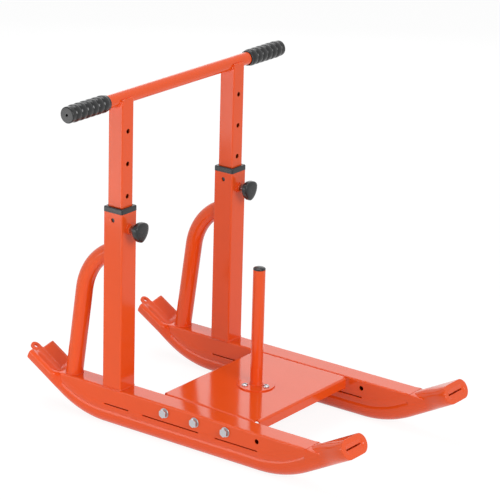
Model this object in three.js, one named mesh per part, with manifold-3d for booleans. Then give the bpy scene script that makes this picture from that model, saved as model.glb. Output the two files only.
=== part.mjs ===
import * as THREE from 'three';
import { mergeVertices } from 'three/addons/utils/BufferGeometryUtils.js';
import Module from 'manifold-3d';

// Drag sled, millimetres, +Z up. It travels toward -Y, X runs across it, and the runners stand on Z = 0.
// The pieces are placed with Y counted from the middle of the deck, and the last lines centre the whole.

const wasm = await Module();
wasm.setup();

// Finishes
const orangePaint = { color: 0xee5a31, roughness: 0.3, metalness: 0 };
const blackPlastic = { color: 0x2b2d30, roughness: 0.5, metalness: 0 };
const blackRubber = { color: 0x1f2023, roughness: 0.7, metalness: 0 };
const zincPlate = { color: 0xc9ccd0, roughness: 0.35, metalness: 1 };

// Clearances
const seatGap = 0.3;
const cutOverrun = 10;

// Frame width and the tubes that run along it
const frameWidth = 438;
const runnerDiameter = 50;
const runnerWall = 3;
const beamWidth = 50;
const beamHeight = 40;
const beamWall = 2.5;
const beamCorner = 4;
const beamEnd = 10;

// Runner path: a flat middle with a bend up at each end
const bendSpacing = 535;
const frontBendReach = 218.8;
const frontRise = THREE.MathUtils.degToRad(28);
const rearRise = THREE.MathUtils.degToRad(31);
const frontBendRadius = 230;
const rearBendRadius = 215;
const frontReach = 195;
const rearReach = 165.7;
const bendSteps = 4;
const runnerHalfSides = 10;

// Runner front end: flared wide, its edge rounded and its face pressed in to a slot
const flareLength = 80;
const flareWidth = 86;
const flareHeight = 44;
const flareSteps = 3;
const faceRound = 1.2;
const faceWall = 4;
const slotWidth = 50;
const slotHeight = 3.5;
const dishWidth = 62;
const dishHeight = 20;
const dishDepth = 3;

// Runner rear end: widened, with a trough pressed into the top that slopes up to two raised rims
const widenStart = 100;
const widenEnd = 74;
const widenSteps = 3;
const rimPlace = 34;
const rimLevel = 16;
const rimRadius = 7;
const lowerPlace = 24;
const lowerLevel = 8;
const lowerRadius = 15;
const troughHalfWidth = 7;
const troughLevel = 10;
const troughStart = 84;
const troughEnd = 66;
const troughRound = 10;
const troughSteps = 3;
const rimTurns = [115, 77, 38, 0];
const lowerTurns = [0, -45, -90];

// Tow eye at the rear end of each runner
const eyeRadius = 12;
const eyeHole = 10.5;
const eyeReach = 11.3;
const eyeThickness = 6;
const eyeRoot = 8;
const eyeShoulder = 17;
const eyeFillet = 6;

// Weld runs between beam and runner, as the Y stations where each starts and stops
const weldRuns = [
  [-288, -161.4],
  [-53.4, -6.6],
  [142.8, 183.2],
  [247.2, 355],
];
const weldTop = 5;
const weldToe = 1;
const weldInset = 0.5;
const weldArcSides = [3, 2, 1];

// Holes along the beams: three bolted to the deck, the one in front left empty
const boltEdge = 45.8;
const boltsPerBeam = 3;
const boltRise = 22;
const boltSize = 10;
const boltHole = 11;
const boltHeadFlats = 17;
const boltHeadHeight = 6.5;
const boltHeadDomeDrop = 1;
const boltEnd = 3;
const washerDiameter = 22;
const washerThickness = 2;
const nutFlats = 17;
const nutHeight = 8;

// Deck, a folded tray that hangs between the beams
const deckLength = 254;
const deckSheet = 3;
const deckLip = 22.5;
const deckFlange = 32;
const deckBend = 5;
const deckRelief = 9;

// Uprights, masts and handlebar
const uprightSize = 50;
const uprightWall = 2.5;
const uprightCorner = 3;
const uprightFront = 203;
const uprightTop = 489.3;
const sideHole = 10;
const sideHoleDrop = 16.3;
const mastSize = 38;
const mastWall = 2;
const mastCorner = 3;
const mastHole = 10.6;
const mastHolePitch = 71.3;
const mastHolesAbovePin = 3;
const mastTail = 112;
const barDiameter = 28.6;
const barWall = 2.5;
const barLevel = 736;

// Black guides between upright and mast
const collarHeight = 11.7;
const collarOverhang = 0.5;
const collarSkirt = 24;
const collarRound = 1.5;
const footHeight = 8;
const footStem = 22;
const footStemWall = 3;

// Grips
const gripStart = 245;
const gripLength = 125;
const gripDiameter = 38;
const gripValley = 34;
const gripRibs = 6;
const gripRibPitch = 18;
const gripFirstRib = 21;
const gripRibSteps = 2;
const gripSides = 16;
const gripEndDiameter = 35.5;
const gripEndRound = 2.5;
const gripEndWall = 6;
const gripVent = 5;

// Lock screws on the front of the uprights
const lockLevel = 453.4;
const pinDiameter = 9.8;
const pinPoint = 2.5;
const lockTravel = 9.5;
const bossDiameter = 22;
const bossLength = 8;
const bossRound = 1.5;
const hubDiameter = 20;
const hubLength = 3;
const knobWidth = 44;
const knobLobeShare = 0.086;
const knobLobes = 3;
const knobLobeSides = 8;
const knobThickness = 18;
const knobBackBevel = 5;
const knobFrontBevel = 5.5;
const knobCrown = 9;
const knobSocket = 12;
const knobBevelShare = 0.33;

// Braces behind the uprights
const braceDiameter = 38;
const braceWall = 2.5;
const braceFoot = 352.2;
const braceLean = THREE.MathUtils.degToRad(7.65);
const braceRun = 203.8;
const braceBendRadius = 132;
const braceSteps = 7;

// Weight post
const postDiameter = 27;
const postWall = 2.5;
const postTop = 357;
const flangeDiameter = 82.5;
const flangeThickness = 3;
const flangeSides = 28;
const capBand = 1.5;
const capDome = 6;
const capOverhang = 0.3;
const capStem = 18;
const screwCircleRadius = 26.5;
const screwCount = 3;
const screwSize = 8;
const screwHole = 9;
const screwHeadDiameter = 15;
const screwHeadHeight = 4.5;
const screwHeadRim = 1.2;
const socketFlats = 5;
const socketDepth = 2.5;
const screwHeadTurn = THREE.MathUtils.degToRad(30);
const screwNutFlats = 13;
const screwNutHeight = 6.5;
const screwEnd = 2;

// Facets on round pieces
const roundSides = 18;
const smallSides = 10;
const cornerSteps = 2;
const searchSteps = 40;

// Places that follow from the sizes above
const halfPi = Math.PI / 2;
const runnerRadius = runnerDiameter / 2;
const frontBendStation = -frontBendReach;
const rearBendStation = bendSpacing - frontBendReach;
const trackHalf = (frameWidth - beamWidth) / 2;
const beamBottom = runnerDiameter + seatGap;
const beamTop = beamBottom + beamHeight;
const boltLevel = beamBottom + boltRise;
const boltPitch = (deckLength - 2 * boltEdge) / (boltsPerBeam - 1);
const deckHalfWidth = frameWidth / 2 - beamWidth;
const uprightMiddle = uprightFront + uprightSize / 2;
const mastFront = uprightMiddle - mastSize / 2;
const uprightBore = uprightSize - 2 * uprightWall;
const flangeTop = beamTop + flangeThickness;
const { lerp } = THREE.MathUtils;

// Solids from geometries, and back

function toSolid(geometry) {
  const bare = geometry.clone();
  bare.deleteAttribute('normal');
  bare.deleteAttribute('uv');
  const joined = mergeVertices(bare);
  const vertProperties = new Float32Array(joined.attributes.position.array);
  const triVerts = new Uint32Array(joined.index.array);
  return new wasm.Manifold(new wasm.Mesh({ numProp: 3, vertProperties, triVerts }));
}

function toGeometry(solid) {
  const mesh = solid.getMesh();
  const geometry = new THREE.BufferGeometry();
  geometry.setAttribute('position', new THREE.BufferAttribute(new Float32Array(mesh.vertProperties), 3));
  geometry.setIndex(new THREE.BufferAttribute(new Uint32Array(mesh.triVerts), 1));
  const faceted = geometry.toNonIndexed();
  faceted.computeVertexNormals();
  return faceted;
}

// Box between two limits on each axis
function block(x, y, z) {
  const geometry = new THREE.BoxGeometry(x[1] - x[0], y[1] - y[0], z[1] - z[0]);
  geometry.translate((x[0] + x[1]) / 2, (y[0] + y[1]) / 2, (z[0] + z[1]) / 2);
  return toSolid(geometry);
}

// Round bar standing on the Z axis between two levels
function rod(diameter, low, high, sides) {
  const geometry = new THREE.CylinderGeometry(diameter / 2, diameter / 2, high - low, sides);
  geometry.rotateX(halfPi);
  geometry.translate(0, 0, (low + high) / 2);
  return toSolid(geometry);
}

// Profile of radius and level pairs turned about the Z axis
function turned(profile, sides) {
  const points = profile.map(([radius, level]) => new THREE.Vector2(radius, level));
  const geometry = new THREE.LatheGeometry(points, sides);
  geometry.rotateX(halfPi);
  return toSolid(geometry);
}

// Flat outline raised along Z between two levels
function raised(shape, low, high) {
  const geometry = new THREE.ExtrudeGeometry(shape, { depth: high - low, bevelEnabled: false });
  geometry.translate(0, 0, low);
  return toSolid(geometry);
}

// Turns that lay a solid made on the Z axis along another axis
function alongX(solid) {
  return solid.rotate([0, 90, 0]);
}

function alongY(solid) {
  return solid.rotate([-90, 0, 0]);
}

function roundedRect(width, height, corner) {
  const points = [];
  for (let quarter = 0; quarter < 4; quarter += 1) {
    const signX = quarter === 0 || quarter === 3 ? 1 : -1;
    const signY = quarter < 2 ? 1 : -1;
    const centreX = signX * (width / 2 - corner);
    const centreY = signY * (height / 2 - corner);
    for (let step = 0; step <= cornerSteps; step += 1) {
      const angle = (quarter + step / cornerSteps) * halfPi;
      points.push(new THREE.Vector2(centreX + corner * Math.cos(angle), centreY + corner * Math.sin(angle)));
    }
  }
  return points;
}

function hexagon(flats) {
  const points = [];
  for (let side = 0; side < 6; side += 1) {
    const angle = (side * Math.PI) / 3;
    const reach = flats / Math.sqrt(3);
    points.push(new THREE.Vector2(reach * Math.cos(angle), reach * Math.sin(angle)));
  }
  return points;
}

// Square tube standing on the Z axis
function squareTube(size, wall, corner, low, high) {
  const outer = raised(new THREE.Shape(roundedRect(size, size, corner)), low, high);
  const inner = size - 2 * wall;
  const innerCorner = Math.max(corner - wall, wall / 2);
  const bore = new THREE.Shape(roundedRect(inner, inner, innerCorner));
  return outer.subtract(raised(bore, low - cutOverrun, high + cutOverrun));
}

// Closed skin over rings of points that all have the same count, its two ends triangulated flat
function skin(rings) {
  const count = rings[0].points.length;
  const positions = rings.flatMap((ring) => ring.points.flatMap((point) => [point.x, point.y, point.z]));
  const index = [];
  for (let row = 0; row + 1 < rings.length; row += 1) {
    for (let side = 0; side < count; side += 1) {
      const here = row * count + side;
      const next = row * count + ((side + 1) % count);
      index.push(here, next, next + count, here, next + count, here + count);
    }
  }
  const lastRow = (rings.length - 1) * count;
  for (const [a, b, c] of THREE.ShapeUtils.triangulateShape(rings[0].section, [])) {
    index.push(a, c, b);
  }
  for (const [a, b, c] of THREE.ShapeUtils.triangulateShape(rings[rings.length - 1].section, [])) {
    index.push(lastRow + a, lastRow + b, lastRow + c);
  }
  const geometry = new THREE.BufferGeometry();
  geometry.setAttribute('position', new THREE.Float32BufferAttribute(positions, 3));
  geometry.setIndex(index);
  return toSolid(geometry);
}

// Ring of a section laid level at a height
function levelRing(section, level) {
  return { section, points: section.map((point) => new THREE.Vector3(point.x, point.y, level)) };
}

// Ring of a section (across, up) set square to a path that runs toward -Y and slopes in the YZ plane
function pathRing(place, section) {
  const { y, z, slope } = place;
  const points = section.map(
    (point) => new THREE.Vector3(point.x, y - point.y * Math.sin(slope), z + point.y * Math.cos(slope)),
  );
  return { section, points };
}

function stations(from, to, steps) {
  return Array.from({ length: steps }, (unused, step) => lerp(from, to, step / steps));
}

function smooth(value) {
  const share = THREE.MathUtils.clamp(value, 0, 1);
  return share * share * (3 - 2 * share);
}

// Runner path, measured from its rear end to its front end

const frontTangent = frontBendRadius * Math.tan(frontRise / 2);
const rearTangent = rearBendRadius * Math.tan(rearRise / 2);
const rearBendFrom = rearReach - rearTangent;
const rearBendTo = rearBendFrom + rearBendRadius * rearRise;
const flatLength = rearBendStation - rearTangent - (frontBendStation + frontTangent);
const frontBendFrom = rearBendTo + flatLength;
const frontBendTo = frontBendFrom + frontBendRadius * frontRise;
const pathLength = frontBendTo + frontReach - frontTangent;

function runnerPlace(distance) {
  if (distance < rearBendFrom) {
    const run = rearReach - distance;
    return {
      y: rearBendStation + run * Math.cos(rearRise),
      z: runnerRadius + run * Math.sin(rearRise),
      slope: rearRise,
    };
  }
  if (distance < rearBendTo) {
    const angle = (rearBendTo - distance) / rearBendRadius;
    return {
      y: rearBendStation - rearTangent + rearBendRadius * Math.sin(angle),
      z: runnerRadius + rearBendRadius * (1 - Math.cos(angle)),
      slope: angle,
    };
  }
  if (distance < frontBendFrom) {
    return { y: rearBendStation - rearTangent - (distance - rearBendTo), z: runnerRadius, slope: 0 };
  }
  if (distance < frontBendTo) {
    const angle = (distance - frontBendFrom) / frontBendRadius;
    return {
      y: frontBendStation + frontTangent - frontBendRadius * Math.sin(angle),
      z: runnerRadius + frontBendRadius * (1 - Math.cos(angle)),
      slope: -angle,
    };
  }
  const run = distance - frontBendTo + frontTangent;
  return {
    y: frontBendStation - run * Math.cos(frontRise),
    z: runnerRadius + run * Math.sin(frontRise),
    slope: -frontRise,
  };
}

const bendStations = [
  ...stations(rearBendFrom, rearBendTo, bendSteps),
  rearBendTo,
  ...stations(frontBendFrom, frontBendTo, bendSteps),
  frontBendTo,
];

const runnerStations = [
  0,
  ...stations(troughEnd, troughStart, troughSteps),
  ...stations(troughStart, widenStart, widenSteps),
  widenStart,
  ...bendStations.slice(1),
  ...stations(pathLength - flareLength, pathLength - faceRound, flareSteps),
];

// Right half of a ring, from the middle of the top to the middle of the bottom

function flaredHalf(distance, inset) {
  const share = smooth((distance - pathLength + flareLength) / flareLength);
  const radius = lerp(runnerRadius, flareHeight / 2, share) - inset;
  const straight = lerp(0, (flareWidth - flareHeight) / 2, share);
  const half = [new THREE.Vector2(0, radius)];
  for (let side = 1; side < runnerHalfSides; side += 1) {
    const angle = halfPi - (side / runnerHalfSides) * Math.PI;
    half.push(new THREE.Vector2(straight + radius * Math.cos(angle), radius * Math.sin(angle)));
  }
  half.push(new THREE.Vector2(0, -radius));
  return half;
}

function arcPoint(centreX, centreUp, radius, degrees) {
  const angle = THREE.MathUtils.degToRad(degrees);
  return new THREE.Vector2(centreX + radius * Math.cos(angle), centreUp + radius * Math.sin(angle));
}

function pressedHalf(distance, inset) {
  const rim = rimRadius - inset;
  const lower = lowerRadius - inset;
  const crest = rimLevel + rim;
  const floor = troughLevel - inset;
  const half = [
    new THREE.Vector2(0, floor),
    new THREE.Vector2(troughHalfWidth / 2, floor),
    new THREE.Vector2(troughHalfWidth, floor),
    ...rimTurns.map((degrees) => arcPoint(rimPlace, rimLevel, rim, degrees)),
    ...lowerTurns.map((degrees) => arcPoint(lowerPlace, lowerLevel, lower, degrees)),
    new THREE.Vector2(0, lowerLevel - lower),
  ];
  const topCount = 4;
  return half.map((point, place) => {
    if (place >= topCount) {
      return point;
    }
    const rounding = troughRound * (point.x / rimPlace) ** 2;
    const depthShare = smooth((troughStart - rounding - distance) / (troughStart - troughEnd));
    return new THREE.Vector2(point.x, lerp(crest, point.y, depthShare));
  });
}

function runnerSection(distance, inset) {
  const pressShare = smooth((widenStart - distance) / (widenStart - widenEnd));
  const plain = flaredHalf(distance, inset);
  const pressed = pressedHalf(distance, inset);
  const right = plain.map((point, place) => point.clone().lerp(pressed[place], pressShare));
  const left = right.slice(1, -1).map((point) => new THREE.Vector2(-point.x, point.y));
  return [...left, right[right.length - 1], ...right.slice(0, -1).reverse()];
}

function runnerRings(distances, inset) {
  return distances.map((distance) => pathRing(runnerPlace(distance), runnerSection(distance, inset)));
}

function runnerOuter() {
  const rings = runnerRings(runnerStations, 0);
  for (let step = 0; step <= cornerSteps; step += 1) {
    const angle = (step / cornerSteps) * halfPi;
    const distance = pathLength - faceRound * (1 - Math.sin(angle));
    const inset = faceRound * (1 - Math.cos(angle));
    rings.push(pathRing(runnerPlace(distance), runnerSection(distance, inset)));
  }
  return skin(rings);
}

function runnerBore() {
  const faceStation = pathLength - dishDepth - faceWall;
  const pressStations = [0, troughEnd, troughStart, widenStart];
  const flareStations = [pathLength - flareLength, faceStation];
  return skin(runnerRings([-cutOverrun, ...pressStations, ...bendStations.slice(1), ...flareStations], runnerWall));
}

// Pressed face with its slot, cut square to the front end
function frontMouth() {
  const wide = roundedRect(dishWidth, dishHeight, dishHeight / 2 - seatGap);
  const narrow = roundedRect(slotWidth, slotHeight, slotHeight / 2 - seatGap);
  return skin([
    pathRing(runnerPlace(pathLength - dishDepth - faceWall - cutOverrun), narrow),
    pathRing(runnerPlace(pathLength - dishDepth), narrow),
    pathRing(runnerPlace(pathLength), wide),
    pathRing(runnerPlace(pathLength + cutOverrun), wide),
  ]);
}

// Tongue with the tow hole, level with the trough floor
function towEye() {
  const shape = new THREE.Shape();
  shape.moveTo(-eyeShoulder, -eyeRoot);
  shape.lineTo(eyeShoulder, -eyeRoot);
  shape.lineTo(eyeShoulder, 0);
  shape.quadraticCurveTo(eyeRadius, 0, eyeRadius, eyeFillet);
  shape.lineTo(eyeRadius, eyeReach);
  shape.absarc(0, eyeReach, eyeRadius, 0, Math.PI, false);
  shape.lineTo(-eyeRadius, eyeFillet);
  shape.quadraticCurveTo(-eyeRadius, 0, -eyeShoulder, 0);
  const hole = new THREE.Path();
  hole.absarc(0, eyeReach, eyeHole / 2, 0, 2 * Math.PI, true);
  shape.holes.push(hole);
  const settings = { depth: eyeThickness, bevelEnabled: false, curveSegments: smallSides / 2 };
  const geometry = new THREE.ExtrudeGeometry(shape, settings);
  const { y, z, slope } = runnerPlace(0);
  geometry.translate(0, 0, troughLevel - eyeThickness);
  geometry.rotateX(slope);
  geometry.translate(0, y, z);
  return toSolid(geometry);
}

function buildRunner() {
  return runnerOuter().subtract(runnerBore()).subtract(frontMouth()).add(towEye());
}

// Beam: a rectangular tube whose ends follow the top of the runner

const beamStations = [beamEnd, ...bendStations, pathLength - beamEnd];

function crownPoint(distance) {
  const { y, z, slope } = runnerPlace(distance);
  const reach = runnerRadius + seatGap;
  return new THREE.Vector2(y - reach * Math.sin(slope), z + reach * Math.cos(slope));
}

// Everything below the top line of the runner
function underCrown() {
  const line = beamStations.map(crownPoint);
  const outline = [
    new THREE.Vector2(line[0].x, -cutOverrun),
    ...line,
    new THREE.Vector2(line[line.length - 1].x, -cutOverrun),
  ];
  const solid = raised(new THREE.Shape(outline), -beamWidth, beamWidth);
  return solid.rotate([90, 0, 0]).rotate([0, 0, 90]);
}

function beamTube(inset, overrun) {
  const width = beamWidth - 2 * inset;
  const height = beamHeight - 2 * inset;
  const corner = Math.max(beamCorner - inset, inset / 2);
  const shape = new THREE.Shape(roundedRect(width, height, corner));
  const front = crownPoint(pathLength - beamEnd).x - overrun;
  const rear = crownPoint(beamEnd).x + overrun;
  const tube = alongY(raised(shape, front, rear));
  return tube.translate([0, 0, (beamBottom + beamTop) / 2]);
}

// Weld that fills the corner between the beam wall and the round of the runner, on one side
function weldRun(from, to, side) {
  const face = beamWidth / 2 - weldInset;
  const sideStep = 180 / runnerHalfSides;
  const arc = weldArcSides.map((step) => arcPoint(0, 0, runnerRadius + 2 * seatGap, step * sideStep));
  const outline = [
    new THREE.Vector2(face, runnerRadius + weldTop),
    new THREE.Vector2(arc[0].x, runnerRadius + weldTop),
    ...arc,
    new THREE.Vector2(face, arc[2].y + weldToe),
  ];
  const section = outline.map((point) => new THREE.Vector2(side * point.x, point.y));
  if (side < 0) {
    section.reverse();
  }
  const within = bendStations.filter((distance) => distance > from && distance < to);
  const rings = [from, ...within, to].map((distance) => pathRing(runnerPlace(distance), section));
  return skin(rings);
}

// Distance along the runner of a Y station on its top line
function distanceAt(station) {
  let low = 0;
  let high = pathLength;
  for (let step = 0; step < searchSteps; step += 1) {
    const middle = (low + high) / 2;
    if (crownPoint(middle).x > station) {
      low = middle;
    } else {
      high = middle;
    }
  }
  return low;
}

function boltStations() {
  const middle = (boltsPerBeam - 1) / 2;
  return Array.from({ length: boltsPerBeam }, (unused, place) => (middle - place) * boltPitch);
}

function buildBeam() {
  let welds = null;
  for (const [front, rear] of weldRuns) {
    for (const side of [-1, 1]) {
      const weld = weldRun(distanceAt(rear), distanceAt(front), side);
      welds = welds ? welds.add(weld) : weld;
    }
  }
  const tube = beamTube(0, 0).subtract(underCrown());
  let beam = tube.add(welds).subtract(beamTube(beamWall, cutOverrun));
  for (const station of [...boltStations(), boltStations()[boltsPerBeam - 1] - boltPitch]) {
    const hole = alongX(rod(boltHole, -beamWidth, beamWidth, smallSides));
    beam = beam.subtract(hole.translate([0, station, boltLevel]));
  }
  return beam;
}

// Upright: outward is the sign of X on which its side hole lies
function buildUpright(outward) {
  const tube = squareTube(uprightSize, uprightWall, uprightCorner, beamTop, uprightTop);
  const pinHole = alongY(rod(pinDiameter + 2 * seatGap, -uprightSize, 0, smallSides));
  const boltOpening = alongX(rod(sideHole, 0, uprightSize, smallSides)).scale([outward, 1, 1]);
  return tube
    .subtract(pinHole.translate([0, 0, lockLevel]))
    .subtract(boltOpening.translate([0, 0, uprightTop - sideHoleDrop]));
}

// Collar pressed into the top of the upright, with a skirt that guides the mast
function buildCollar() {
  const skirt = uprightBore - 2 * seatGap;
  const band = uprightSize + 2 * collarOverhang;
  const skirtSection = roundedRect(skirt, skirt, uprightCorner - seatGap);
  const bandSection = roundedRect(band, band, uprightCorner + collarOverhang);
  const topSection = roundedRect(band - 2 * collarRound, band - 2 * collarRound, uprightCorner);
  const body = skin([
    levelRing(skirtSection, uprightTop - collarSkirt),
    levelRing(skirtSection, uprightTop),
    levelRing(bandSection, uprightTop),
    levelRing(bandSection, uprightTop + collarHeight - collarRound),
    levelRing(topSection, uprightTop + collarHeight),
  ]);
  const bore = mastSize + 2 * seatGap;
  const boreShape = new THREE.Shape(roundedRect(bore, bore, mastCorner + seatGap));
  return body.subtract(raised(boreShape, uprightTop - collarSkirt - cutOverrun, uprightTop + collarHeight + cutOverrun));
}

// Mast, coped at its top to take the handlebar
function buildMast() {
  const low = lockLevel - mastTail;
  let mast = squareTube(mastSize, mastWall, mastCorner, low, barLevel);
  const cope = alongX(rod(barDiameter + 2 * seatGap, -mastSize, mastSize, roundSides));
  mast = mast.subtract(cope.translate([0, 0, barLevel]));
  for (let step = 0; step <= mastHolesAbovePin; step += 1) {
    const hole = alongY(rod(mastHole, -mastSize, 0, smallSides));
    mast = mast.subtract(hole.translate([0, 0, lockLevel + step * mastHolePitch]));
  }
  return mast;
}

// Plug in the foot of the mast, as wide as the bore of the upright
function buildFoot() {
  const low = lockLevel - mastTail;
  const guide = uprightBore - 2 * seatGap;
  const stem = mastSize - 2 * mastWall - 2 * seatGap;
  const flangeSection = roundedRect(guide, guide, uprightCorner - seatGap);
  const stemSection = roundedRect(stem, stem, mastWall);
  const body = skin([
    levelRing(flangeSection, low - footHeight),
    levelRing(flangeSection, low),
    levelRing(stemSection, low),
    levelRing(stemSection, low + footStem),
  ]);
  const hollow = stem - 2 * footStemWall;
  const hollowShape = new THREE.Shape(roundedRect(hollow, hollow, mastWall));
  return body.subtract(raised(hollowShape, low - footHeight / 2, low + footStem + cutOverrun));
}

// Handlebar, a straight tube that ends inside the grips
function buildHandlebar() {
  const reach = gripStart + gripLength - gripEndWall - seatGap;
  const outer = alongX(rod(barDiameter, -reach, reach, roundSides));
  const bore = alongX(rod(barDiameter - 2 * barWall, -reach - cutOverrun, reach + cutOverrun, roundSides));
  return outer.subtract(bore).translate([0, uprightMiddle, barLevel]);
}

// Grip turned about its own axis: a plain end band, then barrel ribs, then the open end
function gripProfile() {
  const boreRadius = barDiameter / 2 + seatGap;
  const profile = [
    [boreRadius, 0],
    [gripValley / 2, 0],
  ];
  for (let rib = gripRibs - 1; rib >= 0; rib -= 1) {
    const middle = gripLength - gripFirstRib - rib * gripRibPitch;
    for (let step = 0; step < gripRibSteps * 2; step += 1) {
      const share = step / gripRibSteps - 1;
      const radius = gripDiameter / 2 - (gripDiameter - gripValley) / 2 * share ** 2;
      profile.push([radius, middle + (share * gripRibPitch) / 2]);
    }
  }
  const bandRadius = gripEndDiameter / 2;
  profile.push([gripValley / 2, gripLength - gripFirstRib + gripRibPitch / 2]);
  profile.push([bandRadius, gripLength - gripFirstRib + gripRibPitch / 2]);
  profile.push([bandRadius, gripLength - gripEndRound]);
  profile.push([bandRadius - gripEndRound, gripLength]);
  profile.push([gripVent / 2, gripLength]);
  profile.push([gripVent / 2, gripLength - gripEndWall]);
  profile.push([boreRadius, gripLength - gripEndWall]);
  profile.push([boreRadius, 0]);
  return profile;
}

function buildGrip(side) {
  const grip = alongX(turned(gripProfile(), gripSides));
  const turn = side < 0 ? 180 : 0;
  return grip.rotate([0, 0, turn]).translate([side * gripStart, uprightMiddle, barLevel]);
}

// Lock screw: a boss on the upright, a pin through it and a lobed knob on the pin
// The pin, as modelled, stands just clear of the mast, and it travels toward +Y into a mast hole.

const knobBack = uprightFront - bossLength - seatGap - lockTravel - hubLength;
const pinTip = mastFront - seatGap;

function buildBoss() {
  const bore = pinDiameter / 2 + seatGap;
  const radius = bossDiameter / 2;
  const profile = [
    [bore, 0],
    [radius - bossRound, 0],
    [radius, bossRound],
    [radius, bossLength],
    [bore, bossLength],
    [bore, 0],
  ];
  return alongY(turned(profile, roundSides)).translate([0, uprightFront - bossLength, lockLevel]);
}

function buildPin() {
  const radius = pinDiameter / 2;
  const length = pinTip - knobBack + knobSocket - hubLength - seatGap;
  const profile = [
    [0, 0],
    [radius, 0],
    [radius, length - pinPoint],
    [radius - pinPoint / 2, length],
    [0, length],
  ];
  return alongY(turned(profile, smallSides)).translate([0, pinTip - length, lockLevel]);
}

// Outline of equal width all round with three soft lobes, one of them pointing down
function knobSection(inset) {
  const sides = knobLobes * knobLobeSides;
  return Array.from({ length: sides }, (unused, side) => {
    const angle = (side / sides) * 2 * Math.PI;
    const turn = knobLobes * (angle + halfPi);
    const size = knobWidth / 2 - inset;
    const support = size * (1 + knobLobeShare * Math.cos(turn));
    const change = -size * knobLobeShare * knobLobes * Math.sin(turn);
    return new THREE.Vector2(
      support * Math.cos(angle) - change * Math.sin(angle),
      support * Math.sin(angle) + change * Math.cos(angle),
    );
  });
}

function buildKnob() {
  const body = skin([
    levelRing(knobSection(knobBackBevel), 0),
    levelRing(knobSection(0), knobBackBevel),
    levelRing(knobSection(0), knobThickness - knobFrontBevel),
    levelRing(knobSection(knobFrontBevel * knobBevelShare), knobThickness - knobFrontBevel * knobBevelShare),
    levelRing(knobSection(knobCrown), knobThickness),
  ]);
  const hub = rod(hubDiameter, -hubLength, knobBackBevel, roundSides);
  const socket = rod(pinDiameter + 2 * seatGap, -hubLength - cutOverrun, knobSocket - hubLength, smallSides);
  const knob = body.add(hub).subtract(socket);
  return knob.rotate([90, 0, 0]).translate([0, knobBack, lockLevel]);
}

// Brace: a round tube that rises from the beam and bends forward into the back of the upright

function bracePlace(distance) {
  if (distance < braceRun) {
    return {
      y: braceFoot - distance * Math.sin(braceLean),
      z: beamTop + distance * Math.cos(braceLean),
      slope: braceLean - halfPi,
    };
  }
  const angle = braceLean + (distance - braceRun) / braceBendRadius;
  const centreY = braceFoot - braceRun * Math.sin(braceLean) - braceBendRadius * Math.cos(braceLean);
  const centreZ = beamTop + braceRun * Math.cos(braceLean) - braceBendRadius * Math.sin(braceLean);
  return {
    y: centreY + braceBendRadius * Math.cos(angle),
    z: centreZ + braceBendRadius * Math.sin(angle),
    slope: angle - halfPi,
  };
}

function braceTube(diameter) {
  const section = Array.from({ length: roundSides }, (unused, side) => {
    const angle = (side / roundSides) * 2 * Math.PI;
    return new THREE.Vector2((diameter / 2) * Math.cos(angle), (diameter / 2) * Math.sin(angle));
  });
  const bendLength = braceBendRadius * (halfPi - braceLean);
  const distances = [
    -braceDiameter,
    ...stations(braceRun, braceRun + bendLength, braceSteps),
    braceRun + bendLength,
  ];
  return skin(distances.map((distance) => pathRing(bracePlace(distance), section)));
}

function buildBrace() {
  const across = [-braceDiameter, braceDiameter];
  const behind = [uprightFront + uprightSize, braceFoot + braceDiameter];
  const above = [beamTop, uprightTop];
  return braceTube(braceDiameter).subtract(braceTube(braceDiameter - 2 * braceWall)).intersect(block(across, behind, above));
}

// Deck: a top sheet with folded lips front and rear, and folded flanges along the beams

function foldedSheet(span, drop) {
  const outer = [];
  const half = span / 2;
  for (let step = 0; step <= cornerSteps; step += 1) {
    const angle = (step / cornerSteps) * halfPi;
    outer.push([half - deckBend * (1 - Math.cos(angle)), -deckBend * (1 - Math.sin(angle))]);
  }
  const inner = [];
  const innerBend = deckBend - deckSheet;
  for (let step = cornerSteps; step >= 0; step -= 1) {
    const angle = (step / cornerSteps) * halfPi;
    const across = half - deckSheet - innerBend * (1 - Math.cos(angle));
    inner.push([across, -deckSheet - innerBend * (1 - Math.sin(angle))]);
  }
  const right = [[half, -drop], ...outer];
  const left = right.map(([across, up]) => [-across, up]).reverse();
  const rightIn = [...inner, [half - deckSheet, -drop]];
  const leftIn = rightIn.map(([across, up]) => [-across, up]).reverse();
  const outline = [...right, ...left, ...leftIn, ...rightIn];
  return new THREE.Shape(outline.map(([across, up]) => new THREE.Vector2(across, up)));
}

function buildDeck() {
  const lipWidth = deckHalfWidth - deckRelief;
  const flangeLength = deckLength / 2 - deckRelief;
  const lips = raised(foldedSheet(deckLength, deckLip), -lipWidth, lipWidth).rotate([90, 0, 0]).rotate([0, 0, 90]);
  const flanges = raised(foldedSheet(2 * deckHalfWidth, deckFlange), -flangeLength, flangeLength).rotate([90, 0, 0]);
  let deck = lips.add(flanges).translate([0, 0, beamTop]);
  for (const station of boltStations()) {
    const hole = alongX(rod(boltHole, -frameWidth, frameWidth, smallSides));
    deck = deck.subtract(hole.translate([0, station, boltLevel]));
  }
  for (const [x, y] of screwPlaces()) {
    deck = deck.subtract(rod(screwHole, beamTop - cutOverrun, beamTop + cutOverrun, smallSides).translate([x, y, 0]));
  }
  return deck;
}

// Deck bolts, washers and nuts, each built pointing outward from the middle of the sled

const headSeat = frameWidth / 2 + washerThickness;
const nutSeat = deckHalfWidth - deckSheet;

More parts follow.
